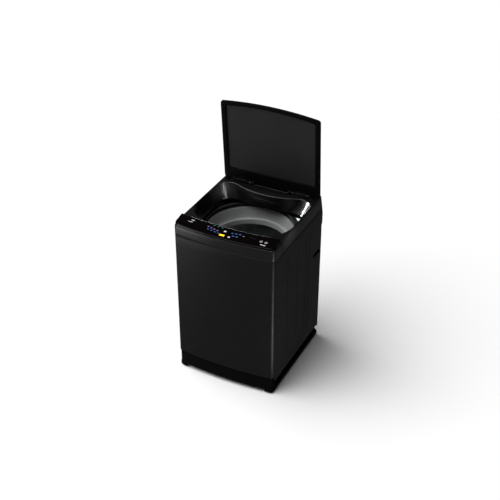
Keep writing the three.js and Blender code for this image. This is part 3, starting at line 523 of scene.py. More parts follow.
def perforated_stainless():
    """Brushed stainless sheet with staggered rows of round water holes, painted as near-black dots: the dots
    are painted shade for the dark gap behind the drum's wall.
    """
    material, tree, surface, place = new_material("perforated brushed stainless")
    axis = put(tree, "ShaderNodeVectorMath", {0: place, 1: DRUM_AXIS}, operation="SUBTRACT")
    parts = put(tree, "ShaderNodeSeparateXYZ", {"Vector": axis.outputs["Vector"]}).outputs
    height = put(tree, "ShaderNodeSeparateXYZ", {"Vector": place}).outputs["Z"]
    angle = put(tree, "ShaderNodeMath", {0: parts["Y"], 1: parts["X"]}, operation="ARCTAN2").outputs[0]
    around = put(tree, "ShaderNodeMath", {0: angle, 1: HOLES_ROUND / ROUND}, operation="MULTIPLY").outputs[0]
    up = put(tree, "ShaderNodeMath", {0: height, 1: HOLE_RISE}, operation="DIVIDE").outputs[0]
    row = put(tree, "ShaderNodeMath", {0: up}, operation="FLOOR").outputs[0]
    shift = put(tree, "ShaderNodeMath", {0: row, 1: 0.5}, operation="MULTIPLY").outputs[0]
    moved = put(tree, "ShaderNodeMath", {0: around, 1: shift}, operation="ADD").outputs[0]
    across = put(tree, "ShaderNodeMath", {0: moved, 1: 0.5}, operation="PINGPONG").outputs[0]
    share = put(tree, "ShaderNodeMath", {0: up}, operation="FRACT").outputs[0]
    rise = put(tree, "ShaderNodeMath", {0: share, 1: 0.5}, operation="SUBTRACT").outputs[0]
    wide = put(tree, "ShaderNodeMath", {0: across, 1: HOLE_PITCH}, operation="MULTIPLY").outputs[0]
    tall = put(tree, "ShaderNodeMath", {0: rise, 1: HOLE_RISE}, operation="MULTIPLY").outputs[0]
    offset = put(tree, "ShaderNodeCombineXYZ", {"X": wide, "Y": tall}).outputs[0]
    distance = put(tree, "ShaderNodeVectorMath", {0: offset}, operation="LENGTH").outputs["Value"]
    solid = spread(tree, distance, 0, 1, 0.0014, 0.0019)
    wall = spread(tree, height, 1, 0, BASKET_LOW.z + 0.030, BASKET_LOW.z + 0.031)
    sheet = put(tree, "ShaderNodeMath", {0: solid, 1: wall}, operation="MAXIMUM").outputs[0]
    stretch = put(tree, "ShaderNodeMapping", {"Vector": place, "Scale": (1, 1, 0.05)})
    brush = put(
        tree,
        "ShaderNodeTexNoise",
        {"Vector": stretch.outputs["Vector"], "Scale": per_mm(0.8), "Detail": 3.0},
    )
    bump = put(tree, "ShaderNodeBump", {"Height": sheet, "Distance": 0.0008, "Strength": 0.8})
    # The drum's wall has no real holes: the near-black hole colour is painted shade for the gap behind it.
    set_surface(
        tree,
        surface,
        Base_Color=blend(tree, sheet, linear("#050505"), linear("#8d9092")),
        Metallic=sheet,
        Roughness=spread(tree, brush.outputs["Fac"], 0.42, 0.55),
        Normal=bump.outputs["Normal"],
    )
    return material


def wound_wire():
    """Zinc plated spring wire: close turns round the sleeve, with the gaps between them painted dark as
    painted shade.
    """
    material, tree, surface, place = new_material("wound zinc plated wire")
    height = put(tree, "ShaderNodeSeparateXYZ", {"Vector": place}).outputs["Z"]
    turns = put(tree, "ShaderNodeMath", {0: height, 1: COIL_RISE}, operation="DIVIDE").outputs[0]
    coil = put(tree, "ShaderNodeMath", {0: turns, 1: 0.5}, operation="PINGPONG").outputs[0]
    wire = spread(tree, coil, 0, 1, 0.08, 0.2)
    bump = put(tree, "ShaderNodeBump", {"Height": coil, "Distance": 0.004, "Strength": 1.0})
    # The dark colour between the turns is painted shade, not a finish of the wire.
    set_surface(
        tree,
        surface,
        Base_Color=blend(tree, wire, linear("#101011"), linear("#9fa2a4")),
        Metallic=0.9,
        Roughness=0.36,
        Normal=bump.outputs["Normal"],
    )
    return material


def smoked_glass():
    """Toughened glass with a deep grey tint that lets a little light through."""
    material, tree, surface, place = new_material("smoked toughened glass")
    smear = put(tree, "ShaderNodeTexNoise", {"Vector": place, "Scale": per_mm(60), "Detail": 4.0})
    set_surface(
        tree,
        surface,
        Base_Color=linear("#1d1d1e"),
        Roughness=spread(tree, smear.outputs["Fac"], 0.10, 0.14),
        IOR=1.52,
        Transmission_Weight=0.06,
        Specular_IOR_Level=0.35,
    )
    return material


def lit_print(name, code, glow):
    """Translucent ink with a soft glow and a slight mottle: over a lamp the glow stands for its light; on
    plain print it is painted light.
    """
    material, tree, surface, place = new_material(name)
    mottle = put(tree, "ShaderNodeTexNoise", {"Vector": place, "Scale": per_mm(3), "Detail": 2.0})
    base = linear(code)
    dim = tuple(c * 0.8 for c in base[:3]) + (1.0,)
    tint = blend(tree, spread(tree, mottle.outputs["Fac"], 0, 1), dim, base)
    set_surface(
        tree, surface, Base_Color=tint, Roughness=0.4, IOR=1.5, Emission_Color=tint, Emission_Strength=glow
    )
    return material


def grey_print():
    """Ceramic print fired on glass: an even satin grey, a little lighter in soft clouds."""
    material, tree, surface, place = new_material("fired grey ceramic print")
    cloud = put(tree, "ShaderNodeTexNoise", {"Vector": place, "Scale": per_mm(220), "Detail": 1.0})
    share = spread(tree, cloud.outputs["Fac"], 0, 1)
    set_surface(
        tree,
        surface,
        Base_Color=blend(tree, share, linear("#242424"), linear("#272727")),
        Roughness=0.5,
        IOR=1.5,
        Specular_IOR_Level=0.2,
    )
    return material


def acrylic_panel():
    """Gloss black acrylic with a trace of warm tint and a faint haze of handling."""
    material, tree, surface, place = new_material("gloss black acrylic")
    haze = put(tree, "ShaderNodeTexNoise", {"Vector": place, "Scale": per_mm(70), "Detail": 4.0})
    set_surface(
        tree,
        surface,
        Base_Color=linear("#040202"),
        Roughness=spread(tree, haze.outputs["Fac"], 0.08, 0.13),
        IOR=1.49,
        Specular_IOR_Level=0.12,
    )
    return material


FINISHES = {
    "graphite_steel": baked_enamel_steel,
    "zinc_steel": lambda: brushed_metal("zinc plated steel", "#9da0a3", 0.38, (1, 1, 0.15), 1.2),
    "moulded_black": lambda: moulded("satin black ABS", "#060606", 0.55, 0.9, 0.00002, specular=0.07),
    "plinth_black": lambda: moulded(
        "grained black polypropylene", "#060606", 0.58, 1.1, 0.00006, specular=0.06
    ),
    "rubber": lambda: moulded("black rubber", "#0b0b0b", 0.72, 2.0, 0.00008, ior=1.52, specular=0.3),
    "gloss_black": black_abs_skin,
    "fascia_graphite": satin_metallic_lacquer,
    "silver_trim": lambda: brushed_metal("bright anodised aluminium", "#b9bbbe", 0.22, (0.04, 1, 1), 0.5),
    "button_white": lambda: moulded("satin white polycarbonate", "#8f8b88", 0.32, 0.8, 0.00001, ior=1.58),
    "board_green": lambda: moulded("green solder mask", "#14502a", 0.30, 4.0, 0.00005, ior=1.5),
    "white_plastic": lambda: moulded("natural white nylon", "#d4d3cb", 0.45, 1.4, 0.00004, ior=1.53),
    "smoked_glass": smoked_glass,
    "tub_grey": lambda: moulded("grey filled polypropylene", "#4c4d4f", 0.48, 1.6, 0.00005, ior=1.49),
    "cast_aluminium": lambda: cast_metal("as-cast aluminium", "#a2a4a6", 0.48),
    "stainless": perforated_stainless,
    "silver_plastic": lambda: moulded("silver grey ABS", "#8a8b8b", 0.30, 0.8, 0.00001, ior=1.54),
    "pulsator_grey": lambda: moulded("dark grey polypropylene", "#4b4d50", 0.34, 1.0, 0.00002, ior=1.49),
}
MADE = {}


def made_once(key, make):
    """The material kept under a key, made at its first use."""
    if key not in MADE:
        MADE[key] = make()
    return MADE[key]


def finish_of(slot):
    return made_once(slot, FINISHES[slot])


# Outlines in plan, seen from above


def front_run(half, front, bow, corner):
    """The front of an outline, from its left side round both corners to its right side."""
    radius = (half * half + bow * bow) / (2 * bow)
    centre_y = front + radius
    corner_x = half - corner
    corner_y = centre_y - math.sqrt((radius - corner) ** 2 - corner_x**2)
    touch = math.atan2(corner_y - centre_y, corner_x)
    left = arc(-corner_x, corner_y, corner, math.pi, math.pi - touch, 8)
    right = arc(corner_x, corner_y, corner, touch, 0, 8)
    middle = arc(0, centre_y, radius, -math.pi - touch, touch, 56)[1:-1]
    return left + middle + right


def whole_outline(half, front, bow, rear, front_corner, rear_corner, sides=40, back=48):
    """A closed outline with a bowed front, straight sides and a straight back."""
    quarter = math.pi / 2
    run = front_run(half, front, bow, front_corner)
    right = arc(half - rear_corner, rear - rear_corner, rear_corner, 0, quarter, 6)
    left = arc(rear_corner - half, rear - rear_corner, rear_corner, quarter, 2 * quarter, 6)
    return [
        *run,
        *straight(run[-1], right[0], sides),
        *right,
        *straight(right[-1], left[0], back),
        *left,
        *straight(left[-1], run[0], sides),
    ]


def panel_rear_y(x, offset):
    """The curve along the back of the control panel, moved to the rear by offset."""
    bow, half = sizes().lid_bow, GLASS_HIGH.x + 0.0063
    radius = (half * half + bow * bow) / (2 * bow)
    return PANEL_REAR_Y + radius - math.sqrt((radius - offset) ** 2 - x * x)


# The control panel's back edge at its middle, and the height of its sloped top.
PANEL_REAR_Y = TRIM_LOW.y - GAP
PANEL_SLOPE = 13 / 85


def panel_top_z(y):
    """The height of the panel's sloped top at a distance from the front."""
    return PANEL_HIGH.z + (y - PANEL_REAR_Y) * PANEL_SLOPE


# Cabinet

# The side grooves: the place of each from front to rear, and its lower and upper end.
RIBS = [(-0.137, 0.140, 0.800), (-0.013, 0.222, 0.780), (0.094, 0.190, 0.764), (0.137, 0.160, 0.784)]


def rib_depth_at(y, z):
    """How deep the grooves are pressed in at a place on the cabinet's side."""
    s = sizes()
    depth = 0.0
    for middle, low, high in RIBS:
        across = 1 - abs(y - middle) / (s.rib_width / 2)
        ends = min(z - low, high - z) / (s.rib_width / 2)
        depth = max(depth, smooth(min(across, ends)))
    return depth * s.rib_depth


def packed_list(low, high, step, spots, reach, fine):
    """Places from low to high, step apart, and fine apart within reach of each spot."""
    places = {round(low, 5), round(high, 5)}
    count = math.ceil((high - low) / step)
    places.update(round(low + (high - low) * i / count, 5) for i in range(count))
    for spot in spots:
        steps = round(reach / fine)
        places.update(round(spot + fine * i, 5) for i in range(-steps, steps + 1))
    kept = sorted(p for p in places if low <= p <= high)
    return [p for i, p in enumerate(kept) if i == 0 or p - kept[i - 1] > fine * 0.4]


def wrap_line():
    """The cabinet's sheet from its left rear hem round the front to its right rear hem."""
    s = sizes()
    half, rear, corner = HALF_WIDTH, REAR_HIGH.y + 0.0012, s.rear_corner
    run = front_run(half, SHELL_LOW.y, s.front_bow, s.front_corner)
    ys = packed_list(run[-1][1], rear - corner, 0.02, [r[0] for r in RIBS], 0.0066, 0.0011)
    right = [(half, y) for y in ys[1:-1]]
    turn = arc(half - corner, rear - corner, corner, 0, math.pi / 2, 6)
    hem = [(half - 0.022, rear)]
    tail = right + turn + hem
    mirror = [(-x, y) for x, y in reversed(tail)]
    return mirror + run + tail


def inward_directions(line):
    """Unit directions square to a line of points, towards its left as it is followed."""
    found = []
    for i in range(len(line)):
        (x0, y0), (x1, y1) = line[max(i - 1, 0)], line[min(i + 1, len(line) - 1)]
        length = math.hypot(x1 - x0, y1 - y0)
        found.append((-(y1 - y0) / length, (x1 - x0) / length))
    return found


class WASHER_OT_cabinet(bpy.types.Operator):
    """Forms the cabinet's steel wrap with its ribs and grip windows, and the rods' brackets"""

    bl_idname = "washer.cabinet"
    bl_label = "Cabinet wrap"

    def execute(self, context):
        line = wrap_line()
        ends = [z for rib in RIBS for z in rib[1:]]
        zs = packed_list(SHELL_LOW.z, SHELL_HIGH.z, 0.05, ends, 0.0066, 0.0022)
        hem = 0.002
        turns = [math.pi / 2 * k / 5 for k in range(1, 6)]
        rows = [(0.0, z) for z in zs[:-1]] + [(0.0, SHELL_HIGH.z - hem)]
        rows += [(hem - hem * math.cos(a), SHELL_HIGH.z - hem + hem * math.sin(a)) for a in turns]
        inward = inward_directions(line)

        def place(i, j):
            x, y = line[i]
            inset, z = rows[j]
            depth = inset + (rib_depth_at(y, z) if abs(abs(x) - HALF_WIDTH) < 1e-6 else 0.0)
            return Vector((x + inward[i][0] * depth, y + inward[i][1] * depth, z))

        wrap = formed_sheet("cabinet_wrap", len(line) - 1, len(rows) - 1, place)
        thickened(wrap, WALL_STEEL, lambda c: Vector((c.x, c.y, 0)))
        front = block("front_cut", (-0.4, SHELL_LOW.y - 0.01, 0), (0.4, PLINTH_SIDE_Y, BASE_HIGH.z + GAP))
        combined(wrap, front, "DIFFERENCE")
        for node in ("hand_grip_left", "hand_grip_right"):
            low, high = map(Vector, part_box(node))
            side = math.copysign(1, low.x)
            x = sorted([side * 0.27, side * 0.3])
            middle_y, middle_z = (low.y + high.y) / 2, (low.z + high.z) / 2
            size_y, size_z = GRIP_WINDOW
            window = block(
                "grip_cut",
                (x[0], middle_y - size_y / 2, middle_z - size_z / 2),
                (x[1], middle_y + size_y / 2, middle_z + size_z / 2),
                0.007,
                4,
            )
            combined(wrap, window, "DIFFERENCE")
        finish_piece(wrap, "cabinet", "graphite_steel", "cabinet_shell")
        for corner in ("front_left", "front_right", "rear_left", "rear_right"):
            self.add_hanger(corner)
        return {"FINISHED"}

    def add_hanger(self, corner):
        """A folded bracket inside the wrap that one suspension rod hangs on."""
        low, high = map(Vector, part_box("suspension_rod_" + corner))
        middle = (low + high) / 2
        side = math.copysign(1, middle.x)
        inner, outer = side * (abs(middle.x) - 0.020), side * (HALF_WIDTH - WALL_STEEL)
        front, rear = middle.y - 0.024, middle.y + 0.024
        x = sorted((inner, outer))
        top = HANGER_TOP
        hanger = block("hanger_" + corner, (x[0], front, top - 0.003), (x[1], rear, top), 0.0008, 2)
        x = sorted((inner, inner + side * 0.0025))
        low_edge, high_edge = (x[0], front + 0.002, top - 0.011), (x[1], rear - 0.002, top - 0.001)
        fold = block("fold", low_edge, high_edge, 0.0006, 2)
        combined(hanger, fold, "UNION")
        bore = [(0.0043, top - 0.01), (0.0043, top + 0.01)]
        hole = turned("hole", bore, (middle.x, middle.y, 0), steps=24)
        combined(hanger, hole, "DIFFERENCE")
        finish_piece(hanger, "cabinet", "graphite_steel", angle=30)


class WASHER_OT_base(bpy.types.Operator):
    """Rounds the base with its plinth, the hand grips and the feet"""

    bl_idname = "washer.base"
    bl_label = "Base, grips and feet"

    def execute(self, context):
        softened("base_frame", "moulded_base", "cabinet", "plinth_black", 0.0012)
        for side in ("left", "right"):
            softened(f"hand_grip_{side}", f"moulded_grip_{side}", "cabinet", "plinth_black", 0.0005)
        for node, body in (
            ("foot_front_left", "front_left_foot"),
            ("foot_front_right", "front_right_foot"),
            ("foot_rear_left", "cabinet"),
            ("foot_rear_right", "cabinet"),
        ):
            low, high = map(Vector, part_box(node))
            centre = ((low.x + high.x) / 2, (low.y + high.y) / 2, low.z)
            radius = (high.x - low.x) / 2
            rim = arc(radius - 0.002, 0.0022, 0.002, -math.pi / 2, 0, 4)
            waist = arc(radius - 0.0025, 0.0085, 0.0012, 0, math.pi / 2, 4)
            stem = [(0.0048, 0.0097), (0.0048, 0.0118)]
            thread = [(0.0050 - 0.0006 * (k % 2), 0.0122 + 0.0009 * k) for k in range(35)]
            profile = [(0.0005, 0.0002), *rim, *waist, *stem, *thread, (0.0045, 0.0437), (0.0005, 0.044)]
            foot = turned(node.replace("foot", "levelling_foot"), profile, centre, steps=48)
            finish_piece(foot, body, "rubber", node, angle=30)
        return {"FINISHED"}


def swept_front(name, line, profile):
    """Sweeps a closed profile of (inset, z) points along the line that line(inset) gives."""
    lines = [line(inset) for inset, _ in profile]
    count = len(profile)

    def place(i, j):
        x, y = lines[j % count][i]
        return Vector((x, y, profile[j % count][1]))

    piece = formed_sheet(name, len(lines[0]) - 1, count, place)
    return weld(piece, cap=True)


class WASHER_OT_front_band(bpy.types.Operator):
    """Forms the metallic band under the control panel with its rounded upper edge"""

    bl_idname = "washer.front_band"
    bl_label = "Front band"

    def execute(self, context):
        s = sizes()
        low, high, end_y = FASCIA_LOW.z, FASCIA_HIGH.z, FASCIA_HIGH.y

        def line(inset):
            run = front_run(
                HALF_WIDTH - inset, FASCIA_LOW.y + inset, s.front_bow, s.front_corner - 0.6 * inset
            )
            right = straight(run[-1], (run[-1][0], end_y), 6) + [(run[-1][0], end_y)]
            return [(-x, y) for x, y in reversed(right)] + run + right

        edge = 0.009
        top = high - 0.0003
        outer = [(0.0012, low), (0.0003, low + 0.0004), (0.0, low + 0.0014)]
        side = [(0.0, low + 0.02), (0.0, low + 0.04)]
        round_top = [
            (edge - edge * math.cos(a), top - edge + edge * math.sin(a))
            for a in (math.pi / 2 * k / 8 for k in range(9))
        ]
        inner = [(edge, top - 0.003), (0.0028, top - 0.006), (0.0028, low + 0.03), (0.0028, low)]
        band = swept_front("front_band", line, outer + side + round_top + inner)
        finish_piece(band, "cabinet", "fascia_graphite", "front_fascia", angle=40)
        return {"FINISHED"}


PANEL_BOW = 0.022
PANEL_CORNER = 0.026


def panel_outline(inset):
    """The panel's outer line, with the curve along its back."""
    half = PANEL_HIGH.x - inset
    run = front_run(half, PANEL_LOW.y + inset, PANEL_BOW, PANEL_CORNER - 0.5 * inset)
    xs = [half - 2 * half * i / 56 for i in range(57)]
    rear = [(x, panel_rear_y(x, -inset)) for x in xs]
    side = straight(run[-1], rear[0], 6)
    other = straight(rear[-1], run[0], 6)
    return run + side + rear + other


class WASHER_OT_control_panel(bpy.types.Operator):
    """Forms the sloped control panel, its bright rear strip and its two round buttons"""

    bl_idname = "washer.control_panel"
    bl_label = "Control panel"

    def execute(self, context):
        low, edge = PANEL_LOW.z, 0.0026
        loops = [level(panel_outline(inset), low + rise) for inset, rise in ((0.0008, 0.0), (0.0, 0.0010))]
        for k in range(6):
            a = math.pi / 2 * k / 5
            inset, drop = edge - edge * math.cos(a), edge - edge * math.sin(a)
            loops.append([Vector((x, y, panel_top_z(y) - drop)) for x, y in panel_outline(inset)])
        panel = loops_solid("control_panel_skin", loops)
        for node in ("power_button", "start_button"):
            a, b = map(Vector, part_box(node))
            radius = (b.x - a.x) / 2
            centre = ((a.x + b.x) / 2, (a.y + b.y) / 2, 0)
            bore = [(radius + 0.0005, low - 0.01), (radius + 0.0005, 1.0)]
            hole = turned("button_hole", bore, centre, steps=64)
            combined(panel, hole, "DIFFERENCE")
        finish_piece(panel, "cabinet", "gloss_black", "control_panel", angle=30)
        panel.data.materials[0] = acrylic_panel()
        self.add_strip()
        for node in ("power_button", "start_button"):
            self.add_button(node)
        return {"FINISHED"}

    def add_strip(self):
        half = TRIM_HIGH.x
        low, high = TRIM_LOW.z, TRIM_HIGH.z
        xs = [half - 2 * half * i / 96 for i in range(97)]
        section = [
            (0.0003, low),
            (0.0003, high - 0.0005),
            (0.0006, high - 0.0001),
            (0.0017, high - 0.0001),
            (0.0021, high - 0.0008),
            (0.0021, low),
        ]

        def place(i, j):
            offset, z = section[j % len(section)]
            return Vector((xs[i], panel_rear_y(xs[i], offset), z))

        strip = weld(formed_sheet("rear_strip", 96, len(section), place), cap=True)
        finish_piece(strip, "cabinet", "silver_trim", "control_trim", angle=25)

    def add_button(self, node):
        low, high = map(Vector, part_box(node))
        radius = (high.x - low.x) / 2
        centre = ((low.x + high.x) / 2, (low.y + high.y) / 2, low.z)
        top = high.z - low.z
        rim = arc(radius - 0.0012, top - 0.0014, 0.0012, 0, math.pi / 2, 5)
        dish = [(radius * f, top - 0.0002 - 0.0005 * (1 - f * f)) for f in (0.8, 0.6, 0.4, 0.2, 0.05)]
        profile = [(0.0004, 0.0), (radius, 0.0), (radius, top - 0.004), *rim, *dish]
        cap = turned(node + "_cap", profile, centre, steps=64)
        finish_piece(cap, node, "button_white", node, angle=35)


def printed(name, shapes, ink):
    """Thin ink shapes on the panel's slope: each is a list of (x, y) corners."""
    made = []
    for corners in shapes:
        loops = [
            [Vector((x, y, panel_top_z(y) + lift)) for x, y in corners] for lift in (-0.0001, 0.00018)
        ]
        made.append(loops_solid(name, loops))
    activate(made[0])
    for piece in made:
        piece.select_set(True)
    if len(made) > 1:
        bpy.ops.object.join()
    piece = bpy.context.view_layer.objects.active
    piece.name = name
    piece.data.materials.clear()
    piece.data.materials.append(ink)
    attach(piece, "cabinet")
    return piece


def bar(x, y, wide, tall, corner=0.0006):
    """A bar with rounded corners about (x, y)."""
    half_w, half_t = wide / 2 - corner, tall / 2 - corner
    quarter = math.pi / 2
    points = []
    for k, (sx, sy) in enumerate(((1, 1), (-1, 1), (-1, -1), (1, -1))):
        points += arc(sx * half_w, sy * half_t, corner, k * quarter, (k + 1) * quarter, 3)
    return [(x + px, y + py) for px, py in points]


def disc(x, y, radius):
    """A round dot about (x, y)."""
    return arc(x, y, radius, 0, ROUND * 19 / 20, 19)


class WASHER_OT_panel_marks(bpy.types.Operator):
    """Prints the plain generic marks and lit keys on the control panel"""

    bl_idname = "washer.panel_marks"
    bl_label = "Panel marks"

    def execute(self, context):
        # The white marks are plain print with no lamp behind them: their glow is painted light.
        white = lit_print("white ink with painted glow", "#dfe2e6", 0.25)
        grey = lit_print("grey ink", "#7d8188", 0.0)
        blue = lit_print("blue lit ink", "#33588f", 0.35)
        violet = lit_print("violet lit ink", "#6f5a94", 0.3)
        green = lit_print("green lit ink", "#3f7f68", 0.25)
        yellow = lit_print("yellow lit ink", "#f2c313", 1.2)
        printed(
            "white_marks",
            [
                bar(-0.199, -0.247, 0.017, 0.0042),
                bar(-0.207, -0.262, 0.024, 0.0026),
                bar(-0.005, -0.266, 0.013, 0.0080),
                bar(0.032, -0.298, 0.011, 0.0070),
                bar(0.216, -0.2905, 0.028, 0.0034),
            ],
            white,
        )
        printed("yellow_key", [bar(-0.008, -0.297, 0.027, 0.0120, 0.002)], yellow)
        violets = [bar(-0.102 + 0.019 * k, -0.262 - 0.004 * k, 0.010, 0.0062, 0.0012) for k in range(4)]
        blues = [bar(-0.095 + 0.021 * k, -0.280 - 0.0035 * k, 0.011, 0.0050, 0.0012) for k in range(4)]
        keys = [bar(0.036 + 0.020 * k, -0.265 + 0.0025 * k, 0.012, 0.0055, 0.0012) for k in range(3)]
        more = [bar(0.048 + 0.020 * k, -0.284 + 0.0020 * k, 0.012, 0.0055, 0.0012) for k in range(2)]
        greens = [bar(-0.078 + 0.024 * k, -0.244 - 0.001 * k, 0.008, 0.0040, 0.001) for k in range(3)]
        printed("violet_keys", violets, violet)
        printed("blue_keys", blues + keys + more, blue)
        printed("green_lamps", greens, green)
        dots = [disc(0.135 + 0.012 * k, -0.262 + 0.0008 * k, 0.0011) for k in range(3)]
        printed("grey_marks", [bar(0.098, -0.266, 0.010, 0.004), *dots], grey)
        return {"FINISHED"}


# Moulded top


# The well's middle, its half width at the deck and how much it narrows towards the mouth.
WELL_CENTRE_Y = -0.006
WELL_HALF = 0.276
WELL_TAPER = 0.033
# Reach from the middle, narrowing, and squareness of the well's front half and of its rear half.
WELL_FRONT = (0.215, 0.007, 3.0)
WELL_REAR = (0.216, 0.032, 7.0)
# The bulge of the well's rear wall: its foremost place and its radius.
BULGE_FRONT_Y = 0.161
BULGE_RADIUS = 0.432
# The well's mouth against the front band's lower edge: below zero, so it lies lower.
MOUTH_RISE = -0.0093
# The hinge trough behind the well, and the wall round it and round the drawer's chute.
TROUGH_HALF = 0.262
TROUGH_FRONT = 0.228
TROUGH_REAR = 0.275
TROUGH_FLOOR = 0.905
TROUGH_WALL = 0.003
CHUTE_FRONT = 0.190
DRAWER_PLAY = 0.0015


def soft_least(a, b, reach):
    """The lesser of two, eased over reach where they are close."""
    near = max(reach - abs(a - b), 0.0) / reach
    return min(a, b) - near * near * reach / 4


def well_radius(angle, share, offset):
    """Distance from the well's middle to its wall; share 1 is at the deck and 0 at the mouth."""
    c, s = math.cos(angle), math.sin(angle)
    reach, taper, power = WELL_FRONT if s < 0 else WELL_REAR
    along = reach - taper * (1 - share) + offset
    across = WELL_HALF - WELL_TAPER * (1 - share) + offset
    wall = ((abs(c) / across) ** power + (abs(s) / along) ** power) ** (-1 / power)
    span = BULGE_FRONT_Y + BULGE_RADIUS - WELL_CENTRE_Y
    skin = BULGE_RADIUS - offset
    room = (s * span) ** 2 - span**2 + skin**2
    if s <= 0 or room <= 0:
        return wall
    return soft_least(wall, s * span - math.sqrt(room), 0.020)


def well_loop(angles, share, offset, z):
    """The well's wall at one height, as points at the given angles."""
    loop = []
    for angle in angles:
        radius = well_radius(angle, share, offset)
        loop.append(Vector((radius * math.cos(angle), WELL_CENTRE_Y + radius * math.sin(angle), z)))
    return loop


def cover_outline(inset):
    """The deck's outer line: straight sides and back, with the panel's curve as its front."""
    s = sizes()
    half = HALF_WIDTH - inset
    front = PANEL_REAR_Y + GAP
    bow = panel_rear_y(half, GAP) - front
    return whole_outline(half, front, bow, COVER_HIGH.y, 0.002, 0.008, 44, 60)


class WASHER_OT_top_cover(bpy.types.Operator):
    """Forms the moulded top: skirt, deck, drum well, hinge trough and drawer chute"""

    bl_idname = "washer.top_cover"
    bl_label = "Moulded top"

    def execute(self, context):
        s = sizes()
        deck, low, edge, wall, lip = s.deck_height, COVER_LOW.z, s.deck_edge, 0.003, 0.003
        mouth = FASCIA_LOW.z + MOUTH_RISE
        angles = [math.atan2(y - WELL_CENTRE_Y, x) for x, y in cover_outline(0)]
        loops = [level(cover_outline(0.0), z) for z in (low, low + 0.03, deck - edge)]
        for k in range(1, 7):
            a = math.pi / 2 * k / 6
            loops.append(level(cover_outline(edge - edge * math.cos(a)), deck - edge + edge * math.sin(a)))
        rim = well_loop(angles, 1, lip, deck)
        outer = loops[-1]
        loops += [[p.lerp(q, t) for p, q in zip(outer, rim)] for t in (0.33, 0.67)]
        for k in range(6):
            a = math.pi / 2 * k / 5
            loops.append(well_loop(angles, 1, lip - lip * math.sin(a), deck - lip + lip * math.cos(a)))
        depth = deck - mouth
        shares = [0.9, 0.8, 0.7, 0.6, 0.5, 0.4, 0.3, 0.2, 0.1, 0.02]
        loops += [well_loop(angles, share, 0, mouth + share * depth) for share in shares]
        loops.append(well_loop(angles, 0, 0.0008, mouth))
        loops.append(well_loop(angles, 0, wall - 0.0008, mouth))
        loops += [well_loop(angles, share, wall, mouth + share * depth) for share in shares[::-3]]
        under = well_loop(angles, 1, wall, deck - wall)
        loops.append(under)
        inner = level(cover_outline(max(edge, wall + 0.001)), deck - wall)
        loops.append([p.lerp(q, 0.5) for p, q in zip(under, inner)])
        loops.append(inner)
        loops.append(level(cover_outline(wall), deck - edge))
        loops.append(level(cover_outline(wall), low))
        cover = loops_solid("moulded_top", loops, ring=True)
        self.add_trough(cover, deck)
        finish_piece(cover, "cabinet", "gloss_black", "top_cover", "rear_console", angle=40)
        return {"FINISHED"}

    def add_trough(self, cover, deck):
        """Adds the hinge trough behind the well and the drawer's chute under it."""
        wall, half, floor = TROUGH_WALL, TROUGH_HALF, TROUGH_FLOOR
        low_corner = (-half - wall, TROUGH_FRONT - wall, floor - wall)
        tray = block("tray", low_corner, (half + wall, TROUGH_REAR + 0.004, deck - 0.001))
        combined(cover, tray, "UNION")
        chute_half = DRAWER_HIGH.x + DRAWER_PLAY
        low, high = DRAWER_LOW.z - DRAWER_PLAY, DRAWER_HIGH.z + DRAWER_PLAY
        rear_end = DRAWER_HIGH.y + DRAWER_PLAY
        low_corner = (-chute_half - wall, CHUTE_FRONT, low - wall)
        case = block("case", low_corner, (chute_half + wall, rear_end + wall, floor - 0.001))
        combined(cover, case, "UNION")
        low_corner, high_corner = (-half, TROUGH_FRONT, floor), (half, TROUGH_REAR, deck + 0.02)
        combined(cover, block("space", low_corner, high_corner, 0.003, 3), "DIFFERENCE")
        low_corner, high_corner = (-chute_half, 0.12, low), (chute_half, rear_end, high)
        combined(cover, block("room", low_corner, high_corner, 0.001, 2), "DIFFERENCE")


# Lid


def lid_place(point):
    """Turns a point of the closed lid, measured from the hinge line, to where the lid stands open."""
    turn = Matrix.Rotation(-sizes().lid_open, 3, "X")
    return turn @ Vector(point) + Vector((0, HINGE_Y, HINGE_Z))


def open_lid(piece):
    """Moves a piece of the closed lid to where the lid stands open."""
    for vertex in piece.data.vertices:
        vertex.co = lid_place(vertex.co)
    return piece


# The closed lid, measured from the hinge line: its underside, top, half width, front and rear.
LID_LOW = 0.0033
LID_HIGH = 0.0150
LID_HALF = 0.284
LID_FRONT = -0.4885
LID_REAR = -0.005
# Along the hinge line on each side: cuts for the brackets, knuckles, tongues that carry them, and bore.
NOTCHES = ((0.097, 0.130), (0.147, 0.213))
KNUCKLES = ((0.1302, 0.1468), (0.2132, 0.230))
TONGUES = ((0.1302, 0.1468), (0.2132, 0.256))
MIDDLE_TONGUE = 0.0968
PIN_BORE = (0.110, 0.232)


def lid_outline(inset):
    """The lid's outer line, seen from above when it is closed."""
    s = sizes()
    return whole_outline(
        LID_HALF - inset,
        LID_FRONT + inset,
        s.lid_bow,
        LID_REAR - inset,
        s.lid_corner - 0.5 * inset,
        0.004,
    )


def window_outline(inset):
    """The line of the opening in the lid's frame under the glass."""
    return whole_outline(
        0.25575 - inset, LID_FRONT + 0.0228 + inset, sizes().lid_bow, -0.06575 - inset, 0.012, 0.008
    )


